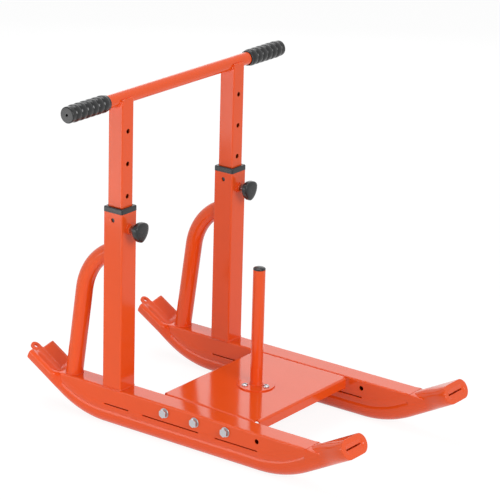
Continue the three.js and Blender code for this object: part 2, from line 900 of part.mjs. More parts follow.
function buildDeckBolt() {
  const shankEnd = nutSeat - nutHeight - boltEnd;
  const head = raised(new THREE.Shape(hexagon(boltHeadFlats)), headSeat, headSeat + boltHeadHeight);
  const corner = boltHeadFlats / Math.sqrt(3);
  const crown = turned(
    [
      [0, headSeat - boltHeadHeight],
      [corner + boltHeadDomeDrop, headSeat - boltHeadHeight],
      [corner + boltHeadDomeDrop, headSeat + boltHeadHeight - boltHeadDomeDrop],
      [boltHeadFlats / 2, headSeat + boltHeadHeight],
      [0, headSeat + boltHeadHeight],
    ],
    roundSides,
  );
  return head.intersect(crown).add(rod(boltSize, shankEnd, headSeat + boltHeadDomeDrop, smallSides));
}

function buildDeckWasher() {
  const bore = boltSize + 2 * seatGap;
  const disc = rod(washerDiameter, frameWidth / 2, headSeat, smallSides);
  return disc.subtract(rod(bore, frameWidth / 2 - cutOverrun, headSeat + cutOverrun, smallSides));
}

function buildDeckNut() {
  const bore = boltSize + 2 * seatGap;
  const nut = raised(new THREE.Shape(hexagon(nutFlats)), nutSeat - nutHeight, nutSeat);
  return nut.subtract(rod(bore, nutSeat - nutHeight - cutOverrun, nutSeat + cutOverrun, smallSides));
}

// Weight post with its flange, screws and cap

function buildPostTube() {
  const tube = rod(postDiameter, flangeTop, postTop, roundSides);
  return tube.subtract(rod(postDiameter - 2 * postWall, flangeTop - cutOverrun, postTop + cutOverrun, roundSides));
}

function screwPlaces() {
  return Array.from({ length: screwCount }, (unused, place) => {
    const angle = (place / screwCount) * 2 * Math.PI - halfPi;
    return [screwCircleRadius * Math.cos(angle), screwCircleRadius * Math.sin(angle)];
  });
}

function buildFlange() {
  let flange = rod(flangeDiameter, beamTop, flangeTop, flangeSides);
  for (const [x, y] of screwPlaces()) {
    flange = flange.subtract(rod(screwHole, beamTop - cutOverrun, flangeTop + cutOverrun, smallSides).translate([x, y, 0]));
  }
  return flange;
}

function buildCap() {
  const rim = postDiameter / 2 + capOverhang;
  const stem = postDiameter / 2 - postWall - seatGap;
  const base = postTop + seatGap;
  const profile = [
    [0, base - capStem],
    [stem, base - capStem],
    [stem, base],
    [rim, base],
    [rim, base + capBand],
  ];
  const domeSteps = cornerSteps + 1;
  for (let step = 1; step < domeSteps; step += 1) {
    const angle = (step / domeSteps) * halfPi;
    profile.push([rim * Math.cos(angle), base + capBand + (capDome - capBand) * Math.sin(angle)]);
  }
  profile.push([0, base + capDome]);
  return turned(profile, roundSides);
}

function buildScrew() {
  const radius = screwHeadDiameter / 2;
  const shankEnd = beamTop - deckSheet - screwNutHeight - screwEnd;
  const profile = [
    [0, shankEnd],
    [screwSize / 2, shankEnd],
    [screwSize / 2, flangeTop],
    [radius, flangeTop],
    [radius, flangeTop + screwHeadRim],
    [radius * Math.cos(screwHeadTurn), flangeTop + lerp(screwHeadRim, screwHeadHeight, Math.sin(screwHeadTurn))],
    [socketFlats, flangeTop + screwHeadHeight],
    [0, flangeTop + screwHeadHeight],
  ];
  const socketFloor = flangeTop + screwHeadHeight - socketDepth;
  const socket = raised(new THREE.Shape(hexagon(socketFlats)), socketFloor, flangeTop + screwHeadHeight + cutOverrun);
  return turned(profile, smallSides).subtract(socket);
}

function buildScrewNut() {
  const top = beamTop - deckSheet;
  const nut = raised(new THREE.Shape(hexagon(screwNutFlats)), top - screwNutHeight, top);
  return nut.subtract(rod(screwSize + 2 * seatGap, top - screwNutHeight - cutOverrun, top + cutOverrun, smallSides));
}

// The assembly

const sled = new THREE.Group();

function addPiece(name, solid, finish, x = 0, y = 0) {
  const mesh = new THREE.Mesh(toGeometry(solid), new THREE.MeshStandardMaterial(finish));
  mesh.name = name;
  mesh.position.set(x, y, 0);
  sled.add(mesh);
}

// Pieces that stand in the plane of a runner
for (const [label, side] of [['left', -1], ['right', 1]]) {
  const x = side * trackHalf;
  addPiece(`runner_${label}`, buildRunner(), orangePaint, x);
  addPiece(`beam_${label}`, buildBeam(), orangePaint, x);
  addPiece(`upright_${label}`, buildUpright(side), orangePaint, x, uprightMiddle);
  addPiece(`brace_${label}`, buildBrace(), orangePaint, x);
  addPiece(`collar_${label}`, buildCollar(), blackPlastic, x, uprightMiddle);
  addPiece(`mast_${label}`, buildMast(), orangePaint, x, uprightMiddle);
  addPiece(`mast_foot_${label}`, buildFoot(), blackPlastic, x, uprightMiddle);
  addPiece(`grip_${label}`, buildGrip(side), blackRubber);
  addPiece(`lock_boss_${label}`, buildBoss(), orangePaint, x);
  addPiece(`lock_pin_${label}`, buildPin(), zincPlate, x);
  addPiece(`lock_knob_${label}`, buildKnob(), blackPlastic, x);
  boltStations().forEach((station, place) => {
    const outward = alongX(buildDeckBolt()).scale([side, 1, 1]);
    const washer = alongX(buildDeckWasher()).scale([side, 1, 1]);
    const nut = alongX(buildDeckNut()).scale([side, 1, 1]);
    addPiece(`deck_bolt_${label}_${place + 1}`, outward.translate([0, 0, boltLevel]), zincPlate, 0, station);
    addPiece(`deck_washer_${label}_${place + 1}`, washer.translate([0, 0, boltLevel]), zincPlate, 0, station);
    addPiece(`deck_nut_${label}_${place + 1}`, nut.translate([0, 0, boltLevel]), zincPlate, 0, station);
  });
}

// Pieces on the middle of the sled
addPiece('handlebar', buildHandlebar(), orangePaint);
addPiece('deck', buildDeck(), orangePaint);
addPiece('post_flange', buildFlange(), orangePaint);
addPiece('post_tube', buildPostTube(), orangePaint);
addPiece('post_cap', buildCap(), blackPlastic);
screwPlaces().forEach(([x, y], place) => {
  addPiece(`flange_screw_${place + 1}`, buildScrew(), zincPlate, x, y);
  addPiece(`flange_nut_${place + 1}`, buildScrewNut(), zincPlate, x, y);
});

// The origin is the middle of the footprint
const bounds = new THREE.Box3().setFromObject(sled);
sled.position.y = -(bounds.min.y + bounds.max.y) / 2;

export default sled;
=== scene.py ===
"""Finished look of a push and drag sled: painted tubes, weld seams, grips, plated bolts and the stage."""

import math

import bmesh
import bpy
from bpy.props import FloatProperty, FloatVectorProperty, PointerProperty
from mathutils import Matrix, Vector


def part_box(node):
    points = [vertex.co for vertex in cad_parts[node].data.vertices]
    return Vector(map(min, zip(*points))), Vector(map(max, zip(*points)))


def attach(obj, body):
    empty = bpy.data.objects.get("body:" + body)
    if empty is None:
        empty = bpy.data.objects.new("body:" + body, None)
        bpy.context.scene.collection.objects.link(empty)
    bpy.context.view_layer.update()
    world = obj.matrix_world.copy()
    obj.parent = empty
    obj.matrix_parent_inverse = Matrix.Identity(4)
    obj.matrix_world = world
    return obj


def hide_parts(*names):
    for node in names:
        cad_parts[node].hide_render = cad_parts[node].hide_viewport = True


bl_info = {
    "name": "Drag Sled",
    "version": (1, 0, 0),
    "blender": (4, 5, 0),
    "location": "View3D > Sidebar > Sled",
    "description": "Builds the finished pieces of a drag sled on its measured frame",
    "category": "Object",
}

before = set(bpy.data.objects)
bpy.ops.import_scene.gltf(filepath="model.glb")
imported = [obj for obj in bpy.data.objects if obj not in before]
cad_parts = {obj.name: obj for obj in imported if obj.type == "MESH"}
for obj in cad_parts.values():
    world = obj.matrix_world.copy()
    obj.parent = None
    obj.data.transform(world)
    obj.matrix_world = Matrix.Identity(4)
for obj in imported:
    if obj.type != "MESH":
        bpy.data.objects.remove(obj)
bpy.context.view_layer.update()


def middle(node, axis):
    """Middle of a frame node's box along an axis."""
    low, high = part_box(node)
    return (low[axis] + high[axis]) / 2


QUARTER = math.pi / 2

# Places read from the frame, in metres
(_, UPRIGHT_FRONT, BEAM_TOP), (_, UPRIGHT_BACK, UPRIGHT_TOP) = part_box("upright_right")
TRACK = middle("upright_right", 0)
MIDDLE = middle("deck", 1)
MAST_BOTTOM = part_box("mast_right")[0].z
MAST_Y = middle("mast_right", 1)
BAR_LEVEL = middle("handlebar", 2)
GRIP_START, GRIP_END = (corner.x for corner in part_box("grip_right"))
BOSS_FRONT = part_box("lock_boss_right")[0].y
LOCK_LEVEL = middle("lock_boss_right", 2)
POST_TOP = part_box("post_tube")[1].z
FLANGE_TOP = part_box("post_flange")[1].z

# Each side's name, the sign of its X and the X of its tubes
SIDES = (("left", -1, -TRACK), ("right", 1, TRACK))

# Details too small to be sizes of their own, in metres: a beam's gap over its runner, the steps along a
# runner's bends and ends, and bores
SEAT = 0.0003
BEND_STEP, END_STEP = 0.006, 0.003
SIDE_HOLE, SIDE_HOLE_DROP = 0.010, 0.0163
PIN_BORE = 0.0104

# Angle in degrees past which an edge of a weld is sharp
WELD_SHARP = 60


def linear(hex_colour):
    """Linear red, green and blue of an sRGB hex value."""
    shares = [int(hex_colour[place:place + 2], 16) / 255 for place in (0, 2, 4)]
    return tuple(s / 12.92 if s <= 0.04045 else ((s + 0.055) / 1.055) ** 2.4 for s in shares)


def length(name, description, default):
    """A length that a user may change."""
    return FloatProperty(
        name=name,
        description=description,
        default=default,
        min=0,
        precision=4,
        unit="LENGTH",
        subtype="DISTANCE",
    )


def angle(name, description, degrees):
    """An angle that a user may change."""
    return FloatProperty(
        name=name, description=description, default=math.radians(degrees), unit="ROTATION", subtype="ANGLE"
    )


def colour(name, description, hex_colour):
    """A colour that a user may change."""
    default = linear(hex_colour)
    return FloatVectorProperty(
        name=name, description=description, default=default, size=3, min=0, max=1, subtype="COLOR"
    )


class SledSizes(bpy.types.PropertyGroup):
    """Sizes of the sled's pieces."""

    runner: length("Runner", "Outside diameter of the runner tube", 0.050)
    runner_wall: length("Runner wall", "Wall of the runner tube", 0.003)
    front_bend: length("Front bend", "From the deck's middle forward to the front bend", 0.2188)
    rear_bend: length("Rear bend", "From the deck's middle back to the rear bend", 0.3162)
    front_rise: angle("Front rise", "Slope of the runner's front end", 28)
    rear_rise: angle("Rear rise", "Slope of the runner's rear end", 31)
    front_radius: length("Front bend radius", "Bend radius at the runner's front", 0.230)
    rear_radius: length("Rear bend radius", "Bend radius at the runner's rear", 0.215)
    front_reach: length("Front reach", "From the front bend to the front end", 0.19492)
    rear_reach: length("Rear reach", "From the rear bend to the rear end", 0.1657)
    flare: length("Flare", "Length of the flared front end", 0.080)
    flare_width: length("Flare width", "Width of the flared front end", 0.086)
    flare_height: length("Flare height", "Height of the flared front end", 0.044)
    face_round: length("Face round", "Round of the front end's edge", 0.0012)
    slot_width: length("Slot width", "Width of the slot in the front end", 0.050)
    slot_height: length("Slot height", "Height of the slot in the front end", 0.0035)
    dish_width: length("Dish width", "Width of the pressed face around the slot", 0.062)
    dish_height: length("Dish height", "Height of the pressed face around the slot", 0.020)
    dish_depth: length("Dish depth", "Depth of the pressed face", 0.003)
    beam_width: length("Beam width", "Width of the beam tube", 0.050)
    beam_wall: length("Beam wall", "Wall of the beam tube", 0.0025)
    beam_corner: length("Beam corner", "Corner radius of the beam tube", 0.004)
    bolt_level: length("Bolt level", "Height of the beam's bolts above the floor", 0.0723)
    bolt_pitch: length("Bolt pitch", "Spacing of the beam's bolts", 0.0812)
    bolt_hole: length("Bolt hole", "Diameter of the beam's holes", 0.011)
    weld_ripple: length("Weld ripple", "Spacing of the ripples in a weld bead", 0.0026)
    upright: length("Upright", "Size of the square upright tube", 0.050)
    upright_wall: length("Upright wall", "Wall of the upright tube", 0.0025)
    mast: length("Mast", "Size of the square mast tube", 0.038)
    mast_wall: length("Mast wall", "Wall of the mast tube", 0.002)
    tube_corner: length("Tube corner", "Corner radius of the square tubes", 0.003)
    mast_hole: length("Mast hole", "Diameter of the height holes", 0.0106)
    mast_pitch: length("Mast hole pitch", "Spacing of the height holes", 0.0713)
    bar: length("Handlebar", "Diameter of the handlebar", 0.0286)
    brace: length("Brace", "Diameter of the brace tube", 0.038)
    brace_foot: length("Brace foot", "From the deck's middle back to the brace's foot", 0.3522)
    brace_run: length("Brace run", "Length of the brace's straight part", 0.2038)
    brace_radius: length("Brace bend radius", "Bend radius of the brace", 0.132)
    brace_lean: angle("Brace lean", "Forward lean of the brace's straight part", 7.65)
    grip: length("Grip", "Diameter over the grip's ribs", 0.038)
    grip_valley: length("Grip valley", "Diameter between the grip's ribs", 0.034)
    grip_pitch: length("Grip rib pitch", "Spacing of the grip's ribs", 0.018)
    knob: length("Knob", "Width of the lobed knob", 0.044)
    knob_depth: length("Knob depth", "Thickness of the knob", 0.018)
    post: length("Post", "Diameter of the weight post", 0.027)
    deck_sheet: length("Deck sheet", "Thickness of the deck's sheet", 0.003)
    deck_bend: length("Deck bend", "Outside bend radius of the deck's folds", 0.005)


class SledColours(bpy.types.PropertyGroup):
    """Colours of the sled's finishes and of the stage."""

    paint: colour("Paint", "Orange of the powder coat", "F0561C")
    plastic: colour("Plastic", "Charcoal of the moulded plastic", "131517")
    rubber: colour("Rubber", "Black of the grips", "0C0D0F")
    zinc: colour("Zinc", "Grey of the zinc plate", "BEC0C3")
    floor: colour("Floor", "White of the floor", "F0F0F0")


# Materials

# Each finish has a grain in relief, and patches that vary its gloss and, below a fade of 1, its shade
FINISHES = {
    # Polyester powder coat: sprayed and baked, so it is glossy with a faint orange peel about 3 mm across
    "orange_paint": {
        "name": "orange_powder_coat",
        "colour": "paint",
        "fade": 0.94,
        "grain": {"Scale": 330, "Detail": 1.5, "Roughness": 0.45},
        "bump": {"Strength": 0.06, "Distance": 0.0004},
        "patches": {"Scale": 14, "Detail": 3},
        "gloss": {"To Min": 0.09, "To Max": 0.14},
        "shader": {"IOR": 1.38},
    },
    # Glass-filled nylon, moulded in a spark-eroded tool: a dull sheen over a grain about 0.6 mm across
    "black_plastic": {
        "name": "charcoal_moulded_nylon",
        "colour": "plastic",
        "fade": 1,
        "grain": {"Scale": 1600, "Detail": 2},
        "bump": {"Strength": 0.18, "Distance": 0.0003},
        "patches": {"Scale": 60, "Detail": 3},
        "gloss": {"To Min": 0.22, "To Max": 0.34},
        "shader": {"IOR": 1.5},
    },
    # Thermoplastic rubber, moulded over a polished core: near black, with a soft gloss and 1 mm pores
    "grip_rubber": {
        "name": "black_moulded_rubber",
        "colour": "rubber",
        "fade": 1,
        "grain": {"Scale": 1000, "Detail": 2},
        "bump": {"Strength": 0.15, "Distance": 0.0003},
        "patches": {"Scale": 45, "Detail": 3},
        "gloss": {"To Min": 0.16, "To Max": 0.26},
        "shader": {"IOR": 1.5},
    },
    # Bright zinc plate: tumbled and passivated, so its gloss is broken by cloudy patches about 3 mm across
    "zinc_plate": {
        "name": "bright_zinc_plate",
        "colour": "zinc",
        "fade": 0.9,
        "grain": {"Scale": 350, "Detail": 3},
        "bump": {"Strength": 0.08, "Distance": 0.0002},
        "patches": {"Scale": 350, "Detail": 3},
        "gloss": {"To Min": 0.22, "To Max": 0.4},
        "shader": {"Metallic": 1},
    },
}
made_finishes = {}


def add(tree, kind, values=None, links=None, **settings):
    """Adds a node, with its settings, the values of its inputs and the sockets linked to them."""
    node = tree.nodes.new(kind)
    for name, value in settings.items():
        setattr(node, name, value)
    for name, value in (values or {}).items():
        node.inputs[name].default_value = value
    for name, socket in (links or {}).items():
        tree.links.new(socket, node.inputs[name])
    return node


def new_material(name):
    """An empty node material and its tree."""
    material = bpy.data.materials.new(name)
    material.use_nodes = True
    material.node_tree.nodes.clear()
    return material, material.node_tree


def finish(slot):
    """The material of a slot, made once."""
    if slot in made_finishes:
        return made_finishes[slot]
    look = FINISHES[slot]
    base = getattr(bpy.context.scene.sled_colours, look["colour"])
    material, tree = new_material(look["name"])
    place = add(tree, "ShaderNodeTexCoord").outputs["Object"]
    grain = add(tree, "ShaderNodeTexNoise", look["grain"], {"Vector": place})
    bump = add(tree, "ShaderNodeBump", look["bump"], {"Height": grain.outputs["Fac"]})
    patches = add(tree, "ShaderNodeTexNoise", look["patches"], {"Vector": place})
    gloss = add(tree, "ShaderNodeMapRange", look["gloss"], {"Value": patches.outputs["Fac"]})
    links = {"Roughness": gloss.outputs["Result"], "Normal": bump.outputs["Normal"]}
    if look["fade"] < 1:
        tint = add(tree, "ShaderNodeMix", {}, {"Factor": patches.outputs["Fac"]}, data_type="RGBA")
        tint.inputs["A"].default_value = (*base, 1)
        tint.inputs["B"].default_value = (*[share * look["fade"] for share in base], 1)
        links["Base Color"] = tint.outputs["Result"]
    shader = add(tree, "ShaderNodeBsdfPrincipled", look["shader"], links)
    if look["fade"] == 1:
        shader.inputs["Base Color"].default_value = (*base, 1)
    add(tree, "ShaderNodeOutputMaterial", links={"Surface": shader.outputs["BSDF"]})
    made_finishes[slot] = material
    return material


# Mesh helpers


def mix(start, end, share):
    """The value at a share of the way between two."""
    return start + (end - start) * share


def mix_points(start, end, share):
    """The outline at a share of the way between two."""
    return [(mix(a[0], b[0], share), mix(a[1], b[1], share)) for a, b in zip(start, end)]


def ease(value):
    """Smooth step between zero and one."""
    share = min(1.0, max(0.0, value))
    return share * share * (3 - 2 * share)


def steps_between(start, end, step):
    """Evenly spaced values from start up to, but without, end."""
    count = max(1, round(abs(end - start) / step))
    return [mix(start, end, place / count) for place in range(count)]


def halve(low, high, before):
    """The value between two up to which a test holds."""
    for _ in range(30):
        centre = (low + high) / 2
        low, high = (centre, high) if before(centre) else (low, centre)
    return low


def arc(centre_x, centre_y, radius, start, end, steps):
    """Points of an arc between two angles in degrees, ends included."""
    points = []
    for step in range(steps + 1):
        turn = math.radians(start + (end - start) * step / steps)
        points.append((centre_x + radius * math.cos(turn), centre_y + radius * math.sin(turn)))
    return points


def dome(radius, level, rise, degrees, steps):
    """Points that rise from a rim, itself left out, over a dome."""
    turns = [math.radians(degrees) * step / steps for step in range(1, steps + 1)]
    return [(radius * math.cos(turn), level + rise * math.sin(turn) / math.sin(turns[-1])) for turn in turns]


def rounded_rect(width, height, corner, steps=5):
    """Outline of a rectangle with round corners."""
    across, up = width / 2 - corner, height / 2 - corner
    points = []
    for place, (sign_x, sign_y) in enumerate([(1, 1), (-1, 1), (-1, -1), (1, -1)]):
        points += arc(sign_x * across, sign_y * up, corner, place * 90, place * 90 + 90, steps)
    return points


def level_ring(outline, level, x=0, y=0):
    """An outline laid level."""
    return [Vector((x + across, y + along, level)) for across, along in outline]


def square_to(place, section, x):
    """A section of across and up pairs, set square to a path at its Y, Z and slope."""
    y, z, slope = place
    back, lift = math.sin(slope), math.cos(slope)
    return [Vector((x + across, y - up * back, z + up * lift)) for across, up in section]


def ring_edges(ring):
    """The edges of a closed ring of vertices."""
    following = ring[1:] + ring[:1]
    return [next(e for e in a.link_edges if e.other_vert(a) is b) for a, b in zip(ring, following)]


def place_ring(bm, points):
    """A closed ring of vertices at these points."""
    ring = list(bmesh.ops.create_circle(bm, cap_ends=False, segments=len(points), radius=1)["verts"])
    for vert, point in zip(ring, points):
        vert.co = point
    return ring


def turn_outward(bm):
    """Turns the faces of a closed shell outward."""
    bmesh.ops.recalc_face_normals(bm, faces=bm.faces)
    if bm.calc_volume(signed=True) < 0:
        bmesh.ops.reverse_faces(bm, faces=bm.faces)


def sweep(rings, closed=False):
    """Extrudes the first ring of points through the others, and caps its ends or joins them."""
    bm = bmesh.new()
    first = place_ring(bm, rings[0])
    ring = first
    for points in rings[1:]:
        made = bmesh.ops.extrude_edge_only(bm, edges=ring_edges(ring))["geom"]
        fresh = {item for item in made if isinstance(item, bmesh.types.BMVert)}
        ring = [next(e.other_vert(v) for e in v.link_edges if e.other_vert(v) in fresh) for v in ring]
        for vert, point in zip(ring, points):
            vert.co = point
    if closed:
        bmesh.ops.bridge_loops(bm, edges=ring_edges(first) + ring_edges(ring))
    else:
        bmesh.ops.edgeloop_fill(bm, edges=ring_edges(first))
        bmesh.ops.edgeloop_fill(bm, edges=ring_edges(ring))
    turn_outward(bm)
    return bm


def prism(outline, low, high, x=0, y=0):
    """An outline raised between two levels."""
    return sweep([level_ring(outline, low, x, y), level_ring(outline, high, x, y)])


def lathe(profile, steps, place):
    """Spins a profile of radius and level pairs about the Z axis, then puts it in its place."""
    bm = bmesh.new()
    verts = [bm.verts.new((radius, 0, level)) for radius, level in profile]
    edges = [bm.edges.new(pair) for pair in zip(verts, verts[1:])]
    bmesh.ops.spin(
        bm, geom=verts + edges, cent=(0, 0, 0), axis=(0, 0, 1), angle=2 * math.pi, steps=steps, use_merge=True
    )
    bmesh.ops.remove_doubles(bm, verts=bm.verts, dist=1e-6)
    turn_outward(bm)
    bmesh.ops.transform(bm, matrix=place, verts=bm.verts)
    return bm


def along_x(side=1):
    """Turn that lays the Z axis along X, outward on a side."""
    return Matrix.Rotation(side * QUARTER, 4, "Y")


def facing_front():
    """Turn that lays the Z axis toward the front, -Y."""
    return Matrix.Rotation(QUARTER, 4, "X")


def drill(diameter, start, end, steps=32):
    """Closed bar from one point to another, as a cutter."""
    start, end = Vector(start), Vector(end)
    run = end - start
    bm = bmesh.new()
    bmesh.ops.create_cone(
        bm,
        cap_ends=True,
        segments=steps,
        radius1=diameter / 2,
        radius2=diameter / 2,
        depth=run.length,
        matrix=Matrix.Translation((start + end) / 2) @ run.to_track_quat("Z", "Y").to_matrix().to_4x4(),
    )
    return bm


def drill_across(diameter, x, y, z, reach, steps=32):
    """Cutter along X that reaches this far to both sides of a point."""
    return drill(diameter, (x - reach, y, z), (x + reach, y, z), steps)


def to_mesh(name, bm):
    """A mesh made of a bmesh, which is freed."""
    mesh = bpy.data.meshes.new(name)
    bm.to_mesh(mesh)
    bm.free()
    return mesh


def to_scene(name, data):
    """A new object in the scene."""
    obj = bpy.data.objects.new(name, data)
    bpy.context.scene.collection.objects.link(obj)
    return obj


def cut(bm, cutters):
    """The bmesh with the cutters taken out of it."""
    body, *tools = [to_scene("temporary", to_mesh("temporary", part)) for part in (bm, *cutters)]
    for tool in tools:
        modifier = body.modifiers.new("cut", "BOOLEAN")
        modifier.operation = "DIFFERENCE"
        modifier.solver = "EXACT"
        modifier.object = tool
    result = bmesh.new()
    result.from_object(body, bpy.context.evaluated_depsgraph_get())
    for obj in (body, *tools):
        mesh = obj.data
        bpy.data.objects.remove(obj)
        bpy.data.meshes.remove(mesh)
    return result


def joined(first, *others):
    """Several bmeshes in one."""
    for other in others:
        mesh = to_mesh("temporary", other)
        first.from_mesh(mesh)
        bpy.data.meshes.remove(mesh)
    return first


def add_piece(name, bm, node=None, slot="orange_paint", body="frame", sharp=32):
    """Makes a finished object, smooth within its sharp edges, that rides on a body in place of its node."""
    limit = math.radians(sharp)
    for face in bm.faces:
        face.smooth = True
    for edge in bm.edges:
        edge.smooth = len(edge.link_faces) == 2 and edge.calc_face_angle() < limit
    obj = to_scene(name, to_mesh(name, bm))
    obj.data.materials.append(finish(slot))
    weighting = obj.modifiers.new("flat faces stay flat", "WEIGHTED_NORMAL")
    weighting.keep_sharp = True
    weighting.weight = 100
    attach(obj, body)
    if node:
        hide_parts(node)


# Weld beads


def resample(points, step, closed):
    """Points at equal steps along a line of points."""
    line = [Vector(point) for point in points]
    if closed:
        line.append(line[0])
    lengths = [0.0]
    for a, b in zip(line, line[1:]):
        lengths.append(lengths[-1] + (b - a).length)
    count = max(4, round(lengths[-1] / step))
    even = []
    span = 0
    for place in range(count if closed else count + 1):
        target = lengths[-1] * place / count
        while span < len(lengths) - 2 and lengths[span + 1] < target:
            span += 1
        share = (target - lengths[span]) / (lengths[span + 1] - lengths[span])
        even.append(line[span].lerp(line[span + 1], share))
    return even


def bead(sizes, points, radius, facing, closed=True):
    """A weld bead along a line of points: a round run with ripples. facing is square to the line."""
    line = resample(points, sizes.weld_ripple / 4, closed)
    around, ripple, end_share, growth = 8, 0.14, 0.4, 0.15
    rings = []
    for place, point in enumerate(line):
        if closed:
            run = line[(place + 1) % len(line)] - line[place - 1]
        else:
            run = line[min(place + 1, len(line) - 1)] - line[max(place - 1, 0)]
        run.normalize()
        out = (Vector(facing) - run * run.dot(Vector(facing))).normalized()
        across = run.cross(out)
        size = radius * (1 - ripple + ripple * abs(math.cos(place * QUARTER / 2)))
        if not closed:
            size *= min(1.0, end_share + growth * min(place, len(line) - 1 - place))
        turns = [step * 2 * math.pi / around for step in range(around)]
        rings.append([point + size * (math.cos(turn) * out + math.sin(turn) * across) for turn in turns])
    return sweep(rings, closed)


# Points around a circle of radius one
CIRCLE = arc(0, 0, 1, 0, 355, 71)


# Runner path, measured from its rear end


def path_lengths(sizes):
    """Where the runner's bends start and stop, and its whole length."""
    front_tangent = sizes.front_radius * math.tan(sizes.front_rise / 2)
    rear_tangent = sizes.rear_radius * math.tan(sizes.rear_rise / 2)
    rear_from = sizes.rear_reach - rear_tangent
    rear_to = rear_from + sizes.rear_radius * sizes.rear_rise
    front_from = rear_to + sizes.rear_bend + sizes.front_bend - rear_tangent - front_tangent
    front_to = front_from + sizes.front_radius * sizes.front_rise
    whole = front_to + sizes.front_reach - front_tangent
    return rear_from, rear_to, front_from, front_to, whole, rear_tangent, front_tangent


def whole_length(sizes):
    """Length of the runner along its axis."""
    return path_lengths(sizes)[4]


def runner_place(sizes, distance):
    """Y, Z and slope of the runner's axis."""
    rear_from, rear_to, front_from, front_to, _, rear_tangent, front_tangent = path_lengths(sizes)
    radius = sizes.runner / 2
    rear, front = MIDDLE + sizes.rear_bend, MIDDLE - sizes.front_bend
    if distance < rear_from:
        run, slope = sizes.rear_reach - distance, sizes.rear_rise
        return rear + run * math.cos(slope), radius + run * math.sin(slope), slope
    if distance < rear_to:
        turn = (rear_to - distance) / sizes.rear_radius
        y = rear - rear_tangent + sizes.rear_radius * math.sin(turn)
        return y, radius + sizes.rear_radius * (1 - math.cos(turn)), turn
    if distance < front_from:
        return rear - rear_tangent - (distance - rear_to), radius, 0.0
    if distance < front_to:
        turn = (distance - front_from) / sizes.front_radius
        y = front + front_tangent - sizes.front_radius * math.sin(turn)
        return y, radius + sizes.front_radius * (1 - math.cos(turn)), -turn
    run, slope = distance - front_to + front_tangent, sizes.front_rise
    return front - run * math.cos(slope), radius + run * math.sin(slope), -slope


def on_path(sizes, distance, section, x):
    """A section of across and up pairs set square to the runner's path."""
    return square_to(runner_place(sizes, distance), section, x)


def bend_distances(sizes):
    """Stations along the runner, close together in its bends."""
    rear_from, rear_to, front_from, front_to, *_ = path_lengths(sizes)
    straight = 0.2
    return [
        *steps_between(rear_from, rear_to, BEND_STEP),
        *steps_between(rear_to, front_from, straight),
        *steps_between(front_from, front_to, BEND_STEP),
        front_to,
    ]


def stadium_half(width, height):
    """Right half of a flat-sided oval, from the middle of its top to the middle of its bottom."""
    radius = height / 2
    return [(0.0, radius), *arc((width - height) / 2, 0, radius, 82.5, -82.5, 22), (0.0, -radius)]


def flared_half(sizes, distance, inset):
    """Half of the runner's section: round, and a wide oval at the front end."""
    share = ease((distance - whole_length(sizes) + sizes.flare) / sizes.flare)
    width, height = mix(sizes.runner, sizes.flare_width, share), mix(sizes.runner, sizes.flare_height, share)
    return stadium_half(width - 2 * inset, height - 2 * inset)


# Pressed rear end: across, up and radius of the rounds of its rim and its underside, and its trough
RIM = (0.034, 0.016, 0.007)
LOWER = (0.024, 0.008, 0.015)
TROUGH_HALF, TROUGH_LEVEL = 0.007, 0.010
TROUGH_START, TROUGH_END, TROUGH_ROUND = 0.084, 0.066, 0.010
WIDEN_START, WIDEN_END = 0.100, 0.074
TROUGH_POINTS = 9


def pressed_half(distance, inset):
    """Half of the pressed section: trough floor, its slope, rim, side and underside."""
    rim, lower = RIM[2] - inset, LOWER[2] - inset
    crest, floor = RIM[1] + rim, TROUGH_LEVEL - inset
    around_rim = arc(RIM[0], RIM[1], rim, 115, 0, 7)
    rim_across, rim_up = around_rim[0]
    half = [(0.0, floor), (TROUGH_HALF / 2, floor + 0.0001), (TROUGH_HALF, floor + 0.0008)]
    parts = (0.12, 0.3, 0.55, 0.8)
    half += [(mix(TROUGH_HALF, rim_across, part), mix(floor, rim_up, part)) for part in parts]
    half += around_rim
    half += arc(LOWER[0], LOWER[1], lower, -6, -90, 7)
    half += [(LOWER[0] / 2, LOWER[1] - lower), (0.0, LOWER[1] - lower)]
    shaped = []
    for across, up in half[:TROUGH_POINTS]:
        rounding = TROUGH_ROUND * (across / RIM[0]) ** 2
        share = ease((TROUGH_START - rounding - distance) / (TROUGH_START - TROUGH_END))
        shaped.append((across, mix(crest, up, share)))
    return shaped + half[TROUGH_POINTS:]


def section_half(sizes, distance, inset=0.0):
    """Right half of the runner's section at a distance, with its wall taken off where inset is given."""
    share = ease((WIDEN_START - distance) / (WIDEN_START - WIDEN_END))
    return mix_points(flared_half(sizes, distance, inset), pressed_half(distance, inset), share)


def full(half):
    """A whole section from its right half."""
    left = [(-across, up) for across, up in half[1:-1]]
    return [*left, half[-1], *half[:-1][::-1]]


def runner_ring(sizes, distance, x, inset=0.0):
    """The ring of the runner's section at a distance."""
    return on_path(sizes, distance, full(section_half(sizes, distance, inset)), x)


def fall(sizes, distance, across):
    """How far the runner's upper surface lies below its round top line, at a place across."""
    half = section_half(sizes, distance)
    for inner, outer in zip(half, half[1:]):
        if inner[0] <= abs(across) < outer[0]:
            level = mix(inner[1], outer[1], (abs(across) - inner[0]) / (outer[0] - inner[0]))
            return sizes.runner / 2 - level
    return sizes.runner / 2 - max(half)[1]


